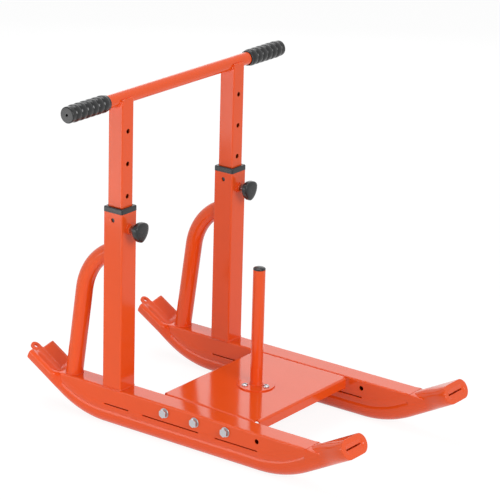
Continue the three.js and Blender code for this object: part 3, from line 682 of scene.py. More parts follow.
def mouth_rings(sizes, x):
    """Rings from inside the front slot, over the pressed face, to the front end's edge."""
    whole = whole_length(sizes)
    slot = stadium_half(sizes.slot_width, sizes.slot_height)
    dish = stadium_half(sizes.dish_width, sizes.dish_height)
    lip, slot_depth = 0.0008, 0.026
    wider = stadium_half(sizes.dish_width + 2 * lip, sizes.dish_height + 2 * lip)
    stations = [
        (slot_depth, slot),
        (sizes.dish_depth + lip, slot),
        (sizes.dish_depth, mix_points(slot, dish, 0.12)),
        (0.0012, mix_points(slot, dish, 0.9)),
        (0.0003, dish),
        (0.0, wider),
    ]
    rings = [on_path(sizes, whole - back, full(half), x) for back, half in stations]
    for step in range(5):
        turn = QUARTER * (1 - step / 5)
        back, inset = sizes.face_round * (1 - math.sin(turn)), sizes.face_round * (1 - math.cos(turn))
        rings.append(runner_ring(sizes, whole - back, x, inset))
    return rings


def runner_mesh(sizes, x):
    """The runner's skin, from the front slot over the outside to the open rear end and into its bore."""
    whole = whole_length(sizes)
    widest, bore_depth = WIDEN_START + BEND_STEP, 0.15
    outside = [
        *steps_between(0.0012, widest, END_STEP),
        *[distance for distance in bend_distances(sizes) if distance > widest],
        *steps_between(whole - sizes.flare, whole - sizes.face_round, END_STEP),
        whole - sizes.face_round,
    ]
    rings = mouth_rings(sizes, x)
    rings += [runner_ring(sizes, distance, x) for distance in reversed(outside)]
    rim = [(0.0003, 0.0003), (0.0, 0.001), (0.0, sizes.runner_wall - 0.0006)]
    rings += [runner_ring(sizes, distance, x, inset) for distance, inset in rim]
    bore = [0.0006, *steps_between(BEND_STEP, bore_depth, BEND_STEP)]
    rings += [runner_ring(sizes, distance, x, sizes.runner_wall) for distance in bore]
    return sweep(rings)


# Tow tongue, in metres
EYE_RADIUS, EYE_HOLE, EYE_REACH, EYE_THICKNESS = 0.012, 0.0105, 0.0113, 0.006
EYE_ROOT, EYE_SHOULDER, EYE_FILLET, EYE_ROUND = 0.008, 0.017, 0.006, 0.0012


def eye_outline(inset):
    """Outline of the tow tongue, across and outward from the runner's rear end."""
    radius, shoulder = EYE_RADIUS - inset, EYE_SHOULDER - inset
    fillet = arc(radius + EYE_FILLET, EYE_FILLET - inset, EYE_FILLET, 270, 180, 6)
    right = [(shoulder, -EYE_ROOT), (shoulder, -inset), *fillet]
    tip = arc(0, EYE_REACH, radius, 0, 180, 24)
    left = [(-across, out) for across, out in reversed(right)]
    return [*right, *tip, *left]


def eye_mesh(sizes, x):
    """The flat tow tongue with rounded edges and its hole."""
    underside = TROUGH_LEVEL - EYE_THICKNESS
    levels = [
        (EYE_ROUND, underside),
        (0.0, underside + EYE_ROUND),
        (0.0, TROUGH_LEVEL - EYE_ROUND),
        (EYE_ROUND * 0.3, TROUGH_LEVEL - EYE_ROUND * 0.3),
        (EYE_ROUND, TROUGH_LEVEL),
    ]
    y, z, slope = runner_place(sizes, 0)
    turn = Matrix.Translation((x, y, z)) @ Matrix.Rotation(slope, 4, "X")
    rings = [[turn @ Vector((*point, level)) for point in eye_outline(inset)] for inset, level in levels]
    hole = drill(EYE_HOLE, turn @ Vector((0, EYE_REACH, -0.02)), turn @ Vector((0, EYE_REACH, 0.03)))
    return cut(sweep(rings), [hole])


# Beam


def crown(sizes, distance):
    """Y and Z of the line on which the beam sits, just above the runner."""
    y, z, slope = runner_place(sizes, distance)
    reach = sizes.runner / 2 + SEAT
    return y - reach * math.sin(slope), z + reach * math.cos(slope)


def distance_at(sizes, y):
    """Distance along the runner at which its top line passes a Y."""
    return halve(0.0, whole_length(sizes), lambda distance: crown(sizes, distance)[0] > y)


def beam_tips(sizes):
    """The distances at which the runner's top line reaches the beam's top, rear and front."""
    near_top = BEAM_TOP - 0.0004
    ends = ((0.0, 0.3), (whole_length(sizes), 0.6))
    return [halve(*span, lambda distance: crown(sizes, distance)[1] > near_top) for span in ends]


def beam_mesh(sizes, x):
    """The beam's skin: a round-cornered section whose underside follows the runner's top line."""
    bottom, sharp_corner = sizes.runner + SEAT, 0.0003
    rear_tip, front_tip = beam_tips(sizes)
    near = [rear_tip, rear_tip + 0.002, *steps_between(rear_tip + BEND_STEP, rear_tip + 0.03, BEND_STEP)]
    far = steps_between(front_tip - 0.03, front_tip - 0.001, BEND_STEP)
    between = [distance for distance in bend_distances(sizes) if near[-1] + 0.003 < distance < far[0] - 0.003]
    rings = []
    for distance in [*near, *between, *far, front_tip]:
        y, low = crown(sizes, distance)
        cut_share = min(1.0, (low - bottom) / sizes.beam_corner)
        upper = min(sizes.beam_corner, 0.7 * (BEAM_TOP - low))
        lower = min(mix(sizes.beam_corner, sharp_corner, cut_share), 0.2 * (BEAM_TOP - low))
        half = sizes.beam_width / 2
        outline = arc(half - upper, BEAM_TOP - upper, upper, 0, 90, 5)
        outline += arc(upper - half, BEAM_TOP - upper, upper, 90, 180, 5)
        outline += arc(lower - half, low + lower, lower, 180, 270, 5)
        outline += arc(half - lower, low + lower, lower, 270, 360, 5)
        rings.append([Vector((x + across, y, up)) for across, up in outline])
    return sweep(rings)


def beam_bore(sizes, x):
    """The hollow of the beam's straight middle, as a cutter."""
    bottom = sizes.runner + SEAT
    wall, width = sizes.beam_wall, sizes.beam_width - 2 * sizes.beam_wall
    outline = rounded_rect(width, BEAM_TOP - bottom - 2 * wall, sizes.beam_corner - wall)
    ends = MIDDLE - sizes.front_bend + 0.01, MIDDLE + sizes.rear_bend - 0.08
    centre = (BEAM_TOP + bottom) / 2
    return sweep([[Vector((x + across, y, centre + up)) for across, up in outline] for y in ends])


# Welds under the beam: where the four runs start and end behind the deck's middle, and their sections
# from the runner's axis. The low run lies along the whole beam, so that a thin slit stays between the others
WELD_RUNS = ((-0.300, -0.1614), (-0.0534, -0.0066), (0.1428, 0.1832), (0.2472, 0.390))
WELD_OUTLINE = (
    (0.0251, 0.0292),
    (0.0255, 0.0262),
    (0.0255, 0.0225),
    (0.0252, 0.0185),
    (0.0246, 0.0148),
    (0.0238, 0.0118),
    (0.0227, 0.0094),
    (0.0218, 0.0090),
    (0.0190, 0.0150),
    (0.0180, 0.0215),
    (0.0215, 0.0282),
)
LOW_RUN = (WELD_RUNS[0][0], WELD_RUNS[-1][1])
LOW_OUTLINE = (
    (0.0226, 0.0238),
    (0.0247, 0.0242),
    (0.0252, 0.0222),
    (0.0250, 0.0185),
    (0.0244, 0.0148),
    (0.0236, 0.0118),
    (0.0226, 0.0094),
    (0.0218, 0.0090),
    (0.0190, 0.0150),
    (0.0180, 0.0215),
    (0.0200, 0.0240),
)


def fillet_weld(sizes, x, side, run, outline, spacing):
    """A weld run between the beam's wall and the runner's round, drawn in to its heart at both ends."""
    start, end = run
    heart, outer_half, swelling, blunt = 0.0205, 0.0225, 0.00008, 0.03
    end_share, growth, rise = 0.45, 0.1, 0.25
    tips = beam_tips(sizes)
    first = max(distance_at(sizes, MIDDLE + end), tips[0] + 0.001)
    last = min(distance_at(sizes, MIDDLE + start), tips[1] - 0.001)
    count = max(8, round((last - first) / spacing))
    rings = []
    for place in range(count + 1):
        distance = mix(first, last, place / count)
        swell = swelling * abs(math.cos(place * math.pi / 3)) - swelling
        from_tip = min(abs(distance - tip) for tip in tips)
        close = 1.0 if from_tip < blunt else min(1.0, end_share + growth * min(place, count - place))
        highest = sizes.runner / 2 + rise * from_tip
        section = []
        for across, up in outline:
            outward = across + (swell if across > outer_half else 0.0)
            section.append((side * mix(heart, outward, close), mix(heart, min(up, highest), close)))
        rings.append(on_path(sizes, distance, section, x))
    return sweep(rings)


def end_weld(sizes, x, tip, forward):
    """The weld that carries a beam's level top on until the rising runner swallows it, ground smooth."""
    radius, rings = sizes.runner / 2, []
    fade = math.tan(abs(runner_place(sizes, tip)[2])) + 0.06
    half, root, depth = 0.0248, 0.012, 0.001
    longest = 0.05 if forward > 0 else 0.005
    for step in range(-24, 25):
        across = half * math.sin(QUARTER * step / 24)
        toe = 0.002
        while toe < longest and toe * fade < fall(sizes, tip + forward * toe, across) + 0.0004:
            toe += 0.001
        top = radius - 0.0014 * (abs(step) / 24) ** 6
        outline = [(-root, top - 0.0002)]
        outline += [(toe * part / 8, top + 0.0002 - toe * fade * part / 8) for part in range(9)]
        outline += [(toe, -depth), (-root, -depth)]
        rings.append([on_path(sizes, tip + forward * along, [(across, up)], x)[0] for along, up in outline])
    return sweep(rings)


# Brace


def brace_place(sizes, distance):
    """Y, Z and slope of the brace's axis, from its foot up and forward."""
    foot = MIDDLE + sizes.brace_foot
    lean, run, radius = sizes.brace_lean, sizes.brace_run, sizes.brace_radius
    if distance < run:
        return foot - distance * math.sin(lean), BEAM_TOP + distance * math.cos(lean), lean - QUARTER
    turn = lean + (distance - run) / radius
    centre_y = foot - run * math.sin(lean) - radius * math.cos(lean)
    centre_z = BEAM_TOP + run * math.cos(lean) - radius * math.sin(lean)
    return centre_y + radius * math.cos(turn), centre_z + radius * math.sin(turn), turn - QUARTER


def brace_length(sizes):
    """Length of the brace along its axis."""
    return sizes.brace_run + sizes.brace_radius * (QUARTER - sizes.brace_lean)


def brace_mesh(sizes, x):
    """The bent brace tube, trimmed flat on the beam and on the back of the upright."""
    below, whole = -0.02, brace_length(sizes)
    section = arc(0, 0, sizes.brace / 2, 0, 352.5, 47)
    distances = [below, *steps_between(sizes.brace_run, whole, 0.005), whole]
    bm = sweep([square_to(brace_place(sizes, distance), section, x) for distance in distances])
    for point, away in (((x, 0, BEAM_TOP), (0, 0, -1)), ((x, UPRIGHT_BACK, 0), (0, -1, 0))):
        parts = [*bm.verts, *bm.edges, *bm.faces]
        trimmed = bmesh.ops.bisect_plane(bm, geom=parts, plane_co=point, plane_no=away, clear_outer=True)
        rim = [item for item in trimmed["geom_cut"] if isinstance(item, bmesh.types.BMEdge)]
        bmesh.ops.edgeloop_fill(bm, edges=rim)
    turn_outward(bm)
    return bm


# Operators


class SledOperator:
    """What the sled's operators share."""

    bl_options = {"REGISTER", "UNDO"}

    @property
    def sizes(self):
        """The sizes set in the sidebar."""
        return bpy.context.scene.sled_sizes


class SLED_OT_runners(SledOperator, bpy.types.Operator):
    """Build the two runners with their flared fronts, pressed rear ends and tow tongues"""

    bl_idname = "sled.runners"
    bl_label = "Runners"

    def execute(self, context):
        for label, _, x in SIDES:
            add_piece(f"{label}_runner", runner_mesh(self.sizes, x), f"runner_{label}", sharp=40)
            add_piece(f"{label}_tow_eye", eye_mesh(self.sizes, x), sharp=40)
        return {"FINISHED"}


class SLED_OT_beams(SledOperator, bpy.types.Operator):
    """Build the two beams, with the empty hole in front of the deck, and their weld runs on the runners"""

    bl_idname = "sled.beams"
    bl_label = "Beams"

    def welds(self, x):
        """The weld runs on both sides of a beam, and the ones that end it."""
        sizes = self.sizes
        rippled, plain = sizes.weld_ripple / 3, 0.005
        rear_tip, front_tip = beam_tips(sizes)
        kinds = [*[(run, WELD_OUTLINE, rippled) for run in WELD_RUNS], (LOW_RUN, LOW_OUTLINE, plain)]
        runs = [fillet_weld(sizes, x, side, *kind) for kind in kinds for side in (-1, 1)]
        return joined(*runs, end_weld(sizes, x, rear_tip, -1), end_weld(sizes, x, front_tip, 1))

    def execute(self, context):
        sizes = self.sizes
        for label, _, x in SIDES:
            hole_y = MIDDLE - 2 * sizes.bolt_pitch
            hole = drill_across(sizes.bolt_hole, x, hole_y, sizes.bolt_level, 0.04)
            beam = cut(beam_mesh(sizes, x), [beam_bore(sizes, x), hole])
            add_piece(f"{label}_beam", beam, f"beam_{label}")
            add_piece(f"{label}_beam_welds", self.welds(x), sharp=WELD_SHARP)
        return {"FINISHED"}


def square_tube(sizes, size, wall, low, high, x):
    """A square tube on the masts' axis, and its bore as a cutter."""
    inner, inner_corner, over = size - 2 * wall, 0.001, 0.01
    tube = prism(rounded_rect(size, size, sizes.tube_corner), low, high, x, MAST_Y)
    return tube, prism(rounded_rect(inner, inner, inner_corner), low - over, high + over, x, MAST_Y)


class SLED_OT_uprights(SledOperator, bpy.types.Operator):
    """Build the two square uprights, with their side holes and the weld around each foot"""

    bl_idname = "sled.uprights"
    bl_label = "Uprights"

    def execute(self, context):
        sizes = self.sizes
        size = sizes.upright
        for label, _, x in SIDES:
            tube, bore = square_tube(sizes, size, sizes.upright_wall, BEAM_TOP, UPRIGHT_TOP, x)
            side_hole = drill_across(SIDE_HOLE, x, MAST_Y, UPRIGHT_TOP - SIDE_HOLE_DROP, size)
            pin_hole = drill(PIN_BORE, (x, MAST_Y, LOCK_LEVEL), (x, UPRIGHT_FRONT - 0.01, LOCK_LEVEL))
            add_piece(f"{label}_upright", cut(tube, [bore, side_hole, pin_hole]), f"upright_{label}")
            foot = rounded_rect(size + 0.001, size - 0.001, sizes.tube_corner)
            seam = level_ring(foot, BEAM_TOP + 0.0006, x, MAST_Y)
            weld = bead(sizes, seam, radius=0.0014, facing=(0, 0, 1))
            add_piece(f"{label}_upright_weld", weld, sharp=WELD_SHARP)
        return {"FINISHED"}


class SLED_OT_braces(SledOperator, bpy.types.Operator):
    """Build the two bent braces and the welds at their ends"""

    bl_idname = "sled.braces"
    bl_label = "Braces"

    def execute(self, context):
        sizes = self.sizes
        radius, raised, weld = sizes.brace / 2, 0.0008, 0.0016
        foot_y, top_z = MIDDLE + sizes.brace_foot, brace_place(sizes, brace_length(sizes))[1]
        for label, _, x in SIDES:
            add_piece(f"{label}_brace", brace_mesh(sizes, x), f"brace_{label}")
            foot = [(x + radius * a, foot_y + radius * b, BEAM_TOP + raised) for a, b in CIRCLE]
            top = [(x + radius * a, UPRIGHT_BACK + raised, top_z + radius * b) for a, b in CIRCLE]
            welds = joined(bead(sizes, foot, weld, (0, 0, 1)), bead(sizes, top, weld, (0, 1, 0)))
            add_piece(f"{label}_brace_welds", welds, sharp=WELD_SHARP)
        return {"FINISHED"}


class SLED_OT_collars(SledOperator, bpy.types.Operator):
    """Build the two moulded collars on the uprights"""

    bl_idname = "sled.collars"
    bl_label = "Collars"

    def execute(self, context):
        sizes = self.sizes
        clearance = 0.0006
        bore = sizes.mast + clearance
        skirt = sizes.upright - 2 * sizes.upright_wall - clearance
        band, seat = sizes.upright + 0.001, UPRIGHT_TOP + 0.0001
        low, top = (corner.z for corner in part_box("collar_right"))
        levels = [
            (skirt, 0.0027, low),
            (skirt, 0.0027, seat),
            (band, 0.0035, seat),
            (band, 0.0035, top - 0.0022),
            (band - 0.0008, 0.0035, top - 0.0009),
            (band - 0.0022, 0.0034, top - 0.0002),
            (band - 0.0036, 0.0033, top),
            (bore + 0.0020, 0.0035, top),
            (bore + 0.0005, 0.0034, top - 0.0006),
            (bore, 0.0033, top - 0.0014),
            (bore, 0.0033, low),
        ]
        for label, _, x in SIDES:
            rings = [level_ring(rounded_rect(size, size, corner), z, x, MAST_Y) for size, corner, z in levels]
            add_piece(f"{label}_collar", sweep(rings, closed=True), f"collar_{label}", "black_plastic")
        return {"FINISHED"}


class SLED_OT_masts(SledOperator, bpy.types.Operator):
    """Build the two masts with their height holes, coped and welded to the handlebar"""

    bl_idname = "sled.masts"
    bl_label = "Masts"

    def welds(self, x):
        """Straight beads in front of and behind the bar, and a saddle bead along each side of the mast."""
        sizes = self.sizes
        half, beads = sizes.mast / 2, []
        run = half - 0.0015
        saddle = arc(MAST_Y, BAR_LEVEL, sizes.bar / 2 + 0.0006, 188, 352, 40)
        for side in (-1, 1):
            y, z = MAST_Y + side * (half - 0.0022), BAR_LEVEL + 0.0002
            line = [(x - run, y, z), (x + run, y, z)]
            beads.append(bead(sizes, line, radius=0.0026, facing=(0, 0, 1), closed=False))
            line = [(x + side * half, *point) for point in saddle]
            beads.append(bead(sizes, line, radius=0.0022, facing=(1, 0, 0), closed=False))
        return joined(*beads)

    def execute(self, context):
        sizes = self.sizes
        size = sizes.mast
        levels = [LOCK_LEVEL + step * sizes.mast_pitch for step in range(4)]
        for label, _, x in SIDES:
            tube, bore = square_tube(sizes, size, sizes.mast_wall, MAST_BOTTOM, BAR_LEVEL, x)
            cope = drill_across(sizes.bar + 0.0002, x, MAST_Y, BAR_LEVEL, size, 64)
            holes = [drill(sizes.mast_hole, (x, MAST_Y, z), (x, MAST_Y - size, z)) for z in levels]
            add_piece(f"{label}_mast", cut(tube, [bore, cope, *holes]), f"mast_{label}", body="handle")
            add_piece(f"{label}_mast_welds", self.welds(x), body="handle", sharp=WELD_SHARP)
        return {"FINISHED"}


class SLED_OT_handlebar(SledOperator, bpy.types.Operator):
    """Build the straight handlebar"""

    bl_idname = "sled.handlebar"
    bl_label = "Handlebar"

    def execute(self, context):
        reach, radius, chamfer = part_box("handlebar")[1].x, self.sizes.bar / 2, 0.001
        profile = [(0, -reach), (radius - chamfer, -reach), (radius, chamfer - reach)]
        profile += [(radius, reach - chamfer), (radius - chamfer, reach), (0, reach)]
        place = Matrix.Translation((0, MAST_Y, BAR_LEVEL)) @ along_x()
        bar = lathe(profile, steps=64, place=place)
        add_piece("cross_handlebar", bar, "handlebar", body="handle")
        return {"FINISHED"}


class SLED_OT_grips(SledOperator, bpy.types.Operator):
    """Build the two ribbed rubber grips"""

    bl_idname = "sled.grips"
    bl_label = "Grips"

    def profile(self):
        """Radius and level of the grip, from its inner rim to the vent in its end."""
        sizes = self.sizes
        whole = GRIP_END - GRIP_START
        bore, valley, crest = sizes.bar / 2 + 0.0002, sizes.grip_valley / 2, sizes.grip / 2
        points = [(bore, 0.0), (valley - 0.0012, 0.0), (valley - 0.0003, 0.0005), (valley, 0.0016)]
        ribs, rib_steps, last_rib, steepness, softness = 6, 12, whole - 0.021, 2.6, 0.8
        for rib in reversed(range(ribs)):
            for step in range(rib_steps + 1):
                share = 2 * step / rib_steps - 1
                height = (1 - abs(share) ** steepness) ** softness
                level = last_rib - rib * sizes.grip_pitch + share * sizes.grip_pitch / 2
                points.append((mix(valley - 0.0003, crest, height), level))
        band, start, rounding = 0.01775, last_rib + sizes.grip_pitch / 2, 0.0025
        points += [(valley, start + 0.0004), (band - 0.0005, start + 0.0008), (band, start + 0.0016)]
        points += arc(band - rounding, whole - rounding, rounding, 0, 90, 6)
        points += [(0.0034, whole), (0.0026, whole - 0.0005), (0.0025, whole - 0.0055), (0.0, whole - 0.0055)]
        return points

    def execute(self, context):
        for label, side, _ in SIDES:
            place = Matrix.Translation((side * GRIP_START, MAST_Y, BAR_LEVEL)) @ along_x(side)
            grip = lathe(self.profile(), steps=64, place=place)
            add_piece(f"{label}_grip", grip, f"grip_{label}", "grip_rubber", "handle", sharp=50)
        return {"FINISHED"}


def knob_outline(sizes, inset):
    """Outline of equal width all round with three soft lobes, one pointing down."""
    size, lobes, share = sizes.knob / 2 - inset, 3, 0.086
    outline = []
    for step in range(72):
        turn = step / 72 * 2 * math.pi
        support = size * (1 + share * math.cos(lobes * (turn + QUARTER)))
        change = -size * share * lobes * math.sin(lobes * (turn + QUARTER))
        across = support * math.cos(turn) - change * math.sin(turn)
        outline.append((across, support * math.sin(turn) + change * math.cos(turn)))
    return outline


class SLED_OT_lock_screws(SledOperator, bpy.types.Operator):
    """Build the lock screws: boss, pin and lobed knob in front of each upright"""

    bl_idname = "sled.lock_screws"
    bl_label = "Lock Screws"

    def boss(self, x):
        """The threaded boss on the upright's front."""
        bore, radius, depth = PIN_BORE / 2, 0.011, 0.008
        profile = [(bore, 0.0), (radius, 0.0), (radius, 0.0062), (0.0107, 0.0070), (0.0102, 0.0076)]
        profile += [(0.0095, depth), (bore, depth), (bore, 0.0)]
        at_wall = Matrix.Translation((x, BOSS_FRONT + depth, LOCK_LEVEL)) @ facing_front()
        return lathe(profile, steps=48, place=at_wall)

    def pin(self, x):
        """The pin, with its tip tapered."""
        start, end = (corner.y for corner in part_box("lock_pin_right"))
        radius, run = 0.0049, end - start
        profile = [(0.0, 0.0), (radius, 0.0), (radius, run - 0.0025), (0.00365, run), (0.0, run)]
        inward = Matrix.Translation((x, start, LOCK_LEVEL)) @ Matrix.Rotation(-QUARTER, 4, "X")
        return lathe(profile, steps=32, place=inward)

    def knob(self, x):
        """The knob with its hub, its back toward the upright."""
        depth, hub = self.sizes.knob_depth, 0.003
        levels = [(0.013, 0.0), (0.006, 0.0), (0.0048, 0.0004), (0.0022, 0.0022)]
        levels += [(0.0006, 0.0040), (0.0, 0.0055), (0.0, depth - 0.0058)]
        levels += [(0.0004, depth - 0.0042), (0.0013, depth - 0.0028)]
        levels += [(0.0026, depth - 0.0017), (0.0045, depth - 0.0009), (0.0075, depth - 0.0004)]
        levels += [(0.0100, depth - 0.0001), (0.0175, depth)]
        place = Matrix.Translation((x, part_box("lock_knob_right")[1].y - hub, LOCK_LEVEL)) @ facing_front()
        body = sweep([level_ring(knob_outline(self.sizes, inset), level) for inset, level in levels])
        bmesh.ops.transform(body, matrix=place, verts=body.verts)
        bore = PIN_BORE / 2
        profile = [(bore, -hub), (0.0096, -hub), (0.010, 0.0004 - hub), (0.010, 0.002), (bore, 0.002)]
        return joined(body, lathe(profile, steps=40, place=place))

    def boss_weld(self, x):
        """The bead around the boss, on the upright's front."""
        reach, y = 0.0113, UPRIGHT_FRONT - 0.0006
        seam = [(x + reach * a, y, LOCK_LEVEL + reach * b) for a, b in CIRCLE]
        return bead(self.sizes, seam, radius=0.0012, facing=(0, 1, 0))

    def execute(self, context):
        for label, _, x in SIDES:
            add_piece(f"{label}_boss", self.boss(x), f"lock_boss_{label}")
            add_piece(f"{label}_boss_weld", self.boss_weld(x), sharp=WELD_SHARP)
            add_piece(f"{label}_pin", self.pin(x), f"lock_pin_{label}", "zinc_plate", f"{label}_lock_pin")
            knob = self.knob(x)
            add_piece(f"{label}_knob", knob, f"lock_knob_{label}", "black_plastic", f"{label}_lock_knob")
        return {"FINISHED"}


class SLED_OT_deck(SledOperator, bpy.types.Operator):
    """Build the folded deck between the beams"""

    bl_idname = "sled.deck"
    bl_label = "Deck"

    def execute(self, context):
        sizes = self.sizes
        low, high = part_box("deck")
        relief, lip = 0.009, 0.0225
        xs, ys = ([low[axis], low[axis] + relief, high[axis] - relief, high[axis]] for axis in (0, 1))
        bm = bmesh.new()
        for vert in bmesh.ops.create_grid(bm, x_segments=3, y_segments=3, size=1)["verts"]:
            vert.co = (xs[round((vert.co.x + 1) * 1.5)], ys[round((vert.co.y + 1) * 1.5)], high.z)
        corners = [v for v in bm.verts if len(v.link_edges) == 2]
        bmesh.ops.delete(bm, geom=corners, context="VERTS")
        folds = []
        for axis, drop in ((0, high.z - low.z), (1, lip)):
            for limit in (low[axis], high[axis]):
                outer = [e for e in bm.edges if e.is_boundary]
                edges = [e for e in outer if all(abs(v.co[axis] - limit) < 1e-6 for v in e.verts)]
                folds += edges
                made = bmesh.ops.extrude_edge_only(bm, edges=edges)["geom"]
                verts = [item for item in made if isinstance(item, bmesh.types.BMVert)]
                bmesh.ops.translate(bm, verts=verts, vec=(0, 0, -drop))
        bmesh.ops.bevel(
            bm,
            geom=folds,
            offset=sizes.deck_bend,
            offset_type="OFFSET",
            segments=5,
            profile=0.5,
            affect="EDGES",
            material=-1,
        )
        bmesh.ops.recalc_face_normals(bm, faces=bm.faces)
        if max(bm.faces, key=lambda face: face.calc_area()).normal.z < 0:
            bmesh.ops.reverse_faces(bm, faces=bm.faces)
        bmesh.ops.solidify(bm, geom=bm.faces, thickness=sizes.deck_sheet)
        add_piece("folded_deck", bm, "deck")
        return {"FINISHED"}


def hexagon(flats):
    """Corners of a hexagon."""
    return arc(0, 0, flats / math.sqrt(3), 0, 300, 5)


def hex_head(flats, height, chamfer):
    """A hexagon head on the Z axis whose corners are turned off by the chamfer."""
    clear, above = flats / math.sqrt(3) + 0.003, height + 0.0001
    ring = [(flats / 2 - 0.0002, above), (clear, above), (clear, height - chamfer - 0.0011)]
    return cut(prism(hexagon(flats), 0, height), [lathe([*ring, ring[0]], steps=48, place=Matrix())])


class SLED_OT_deck_bolts(SledOperator, bpy.types.Operator):
    """Build the deck's bolts and washers"""

    bl_idname = "sled.deck_bolts"
    bl_label = "Deck Bolts"

    def bolt(self, turn, inner, seat, outer):
        """A bolt between three distances from the sled's middle: its tip, its head's seat and head's top."""
        head = hex_head(flats=0.017, height=outer - seat, chamfer=0.0009)
        bmesh.ops.transform(head, matrix=turn @ Matrix.Translation((0, 0, seat)), verts=head.verts)
        radius, chamfer = 0.005, 0.001
        sunk = seat + 0.001
        profile = [(0, inner), (radius - chamfer, inner), (radius, inner + chamfer)]
        profile += [(radius, sunk), (0, sunk)]
        return joined(head, lathe(profile, steps=24, place=turn))

    def washer(self, turn, wall, seat):
        """A washer between the beam's wall and the bolt's head."""
        bore, rim = 0.0053, 0.011
        disc = [(bore, wall), (rim - 0.0002, wall), (rim, wall + 0.0004), (rim, seat - 0.0005)]
        disc += [(rim - 0.0004, seat), (bore, seat)]
        return lathe([*disc, disc[0]], steps=40, place=turn)

    def execute(self, context):
        for label, side, _ in SIDES:
            for place in range(1, 4):
                bolt, washer = f"deck_bolt_{label}_{place}", f"deck_washer_{label}_{place}"
                inner, outer = sorted(abs(corner.x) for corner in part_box(bolt))
                wall, seat = sorted(abs(corner.x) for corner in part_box(washer))
                turn = Matrix.Translation((0, middle(bolt, 1), self.sizes.bolt_level)) @ along_x(side)
                whole = self.bolt(turn, inner, seat, outer)
                add_piece(f"{label}_bolt_{place}", whole, bolt, "zinc_plate", sharp=25)
                add_piece(f"{label}_washer_{place}", self.washer(turn, wall, seat), washer, "zinc_plate")
        return {"FINISHED"}


class SLED_OT_post(SledOperator, bpy.types.Operator):
    """Build the weight post, its flange with the weld between them, and its cap"""

    bl_idname = "sled.post"
    bl_label = "Weight Post"

    def flange(self):
        """Profile of the round flange, its upper edge rounded."""
        low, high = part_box("post_flange")
        rim = (high.x - low.x) / 2
        disc = [(0, low.z), (rim - 0.0003, low.z), (rim, low.z + 0.0003), (rim, high.z - 0.0008)]
        return [*disc, (rim - 0.0003, high.z - 0.0002), (rim - 0.0009, high.z), (0, high.z)]

    def tube(self, radius, wall):
        """Profile of the post's tube."""
        edge = 0.0004
        loop = [(wall, FLANGE_TOP), (radius, FLANGE_TOP), (radius, POST_TOP - edge)]
        return [*loop, (radius - edge, POST_TOP), (wall, POST_TOP), loop[0]]

    def cap(self, wall):
        """Profile of the cap: its stem in the tube, its rim and its dome."""
        low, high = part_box("post_cap")
        edge, stem = (high.x - low.x) / 2, wall - 0.0003
        seat, rim = POST_TOP + 0.0003, POST_TOP + 0.0018
        profile = [(0, low.z), (stem, low.z), (stem, seat), (edge, seat), (edge, rim - 0.0002)]
        return [*profile, *dome(edge, rim, high.z - rim, degrees=90, steps=12)[:-1], (0, high.z)]

    def execute(self, context):
        radius = self.sizes.post / 2
        wall = radius - 0.0025
        stand = Matrix.Translation((0, MIDDLE, 0))
        add_piece("round_flange", lathe(self.flange(), steps=96, place=stand), "post_flange")
        add_piece("weight_post", lathe(self.tube(radius, wall), steps=64, place=stand), "post_tube")
        seam = [(radius * a, MIDDLE + radius * b, FLANGE_TOP + 0.0006) for a, b in CIRCLE]
        weld = bead(self.sizes, seam, radius=0.0016, facing=(0, 0, 1))
        add_piece("post_weld", weld, sharp=WELD_SHARP)
        add_piece("domed_cap", lathe(self.cap(wall), steps=64, place=stand), "post_cap", "black_plastic")
        return {"FINISHED"}


class SLED_OT_flange_screws(SledOperator, bpy.types.Operator):
    """Build the three round-headed socket screws in the flange"""

    bl_idname = "sled.flange_screws"
    bl_label = "Flange Screws"

    def execute(self, context):
        shank, rim = 0.004, FLANGE_TOP + 0.0012
        for place in range(1, 4):
            node = f"flange_screw_{place}"
            x, y = middle(node, 0), middle(node, 1)
            low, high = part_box(node)
            radius, top = (high.x - low.x) / 2, high.z
            profile = [(0, low.z), (shank - 0.0008, low.z), (shank, low.z + 0.0008), (shank, FLANGE_TOP)]
            profile += [(radius - 0.0002, FLANGE_TOP), (radius, FLANGE_TOP + 0.0003), (radius, rim)]
            profile += [*dome(radius, rim, top - rim, degrees=62, steps=7), (0, top)]
            socket = prism(hexagon(flats=0.005), top - 0.0026, top + 0.002, x, y)
            screw = cut(lathe(profile, steps=40, place=Matrix.Translation((x, y, 0))), [socket])
            add_piece(f"socket_screw_{place}", screw, node, "zinc_plate")
        return {"FINISHED"}


class SLED_OT_hidden_parts(SledOperator, bpy.types.Operator):
    """Give the nuts and the mast feet, which keep their frame shapes, their finishes"""

    bl_idname = "sled.hidden_parts"
    bl_label = "Nuts and Mast Feet"

    def execute(self, context):
        for name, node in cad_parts.items():
            if not node.hide_render:
                slot = "black_plastic" if name.startswith("mast_foot") else "zinc_plate"
                node.data.materials.clear()
                node.data.materials.append(finish(slot))
        return {"FINISHED"}


def background_share(tree):
    """A socket that is one for camera, glossy and transmission rays, and zero for all others."""
    path = add(tree, "ShaderNodeLightPath").outputs
    gloss = {0: path["Is Camera Ray"], 1: path["Is Glossy Ray"]}
    seen = add(tree, "ShaderNodeMath", {}, gloss, operation="MAXIMUM")
    through = {0: seen.outputs["Value"], 1: path["Is Transmission Ray"]}
    return add(tree, "ShaderNodeMath", {}, through, operation="MAXIMUM").outputs["Value"]


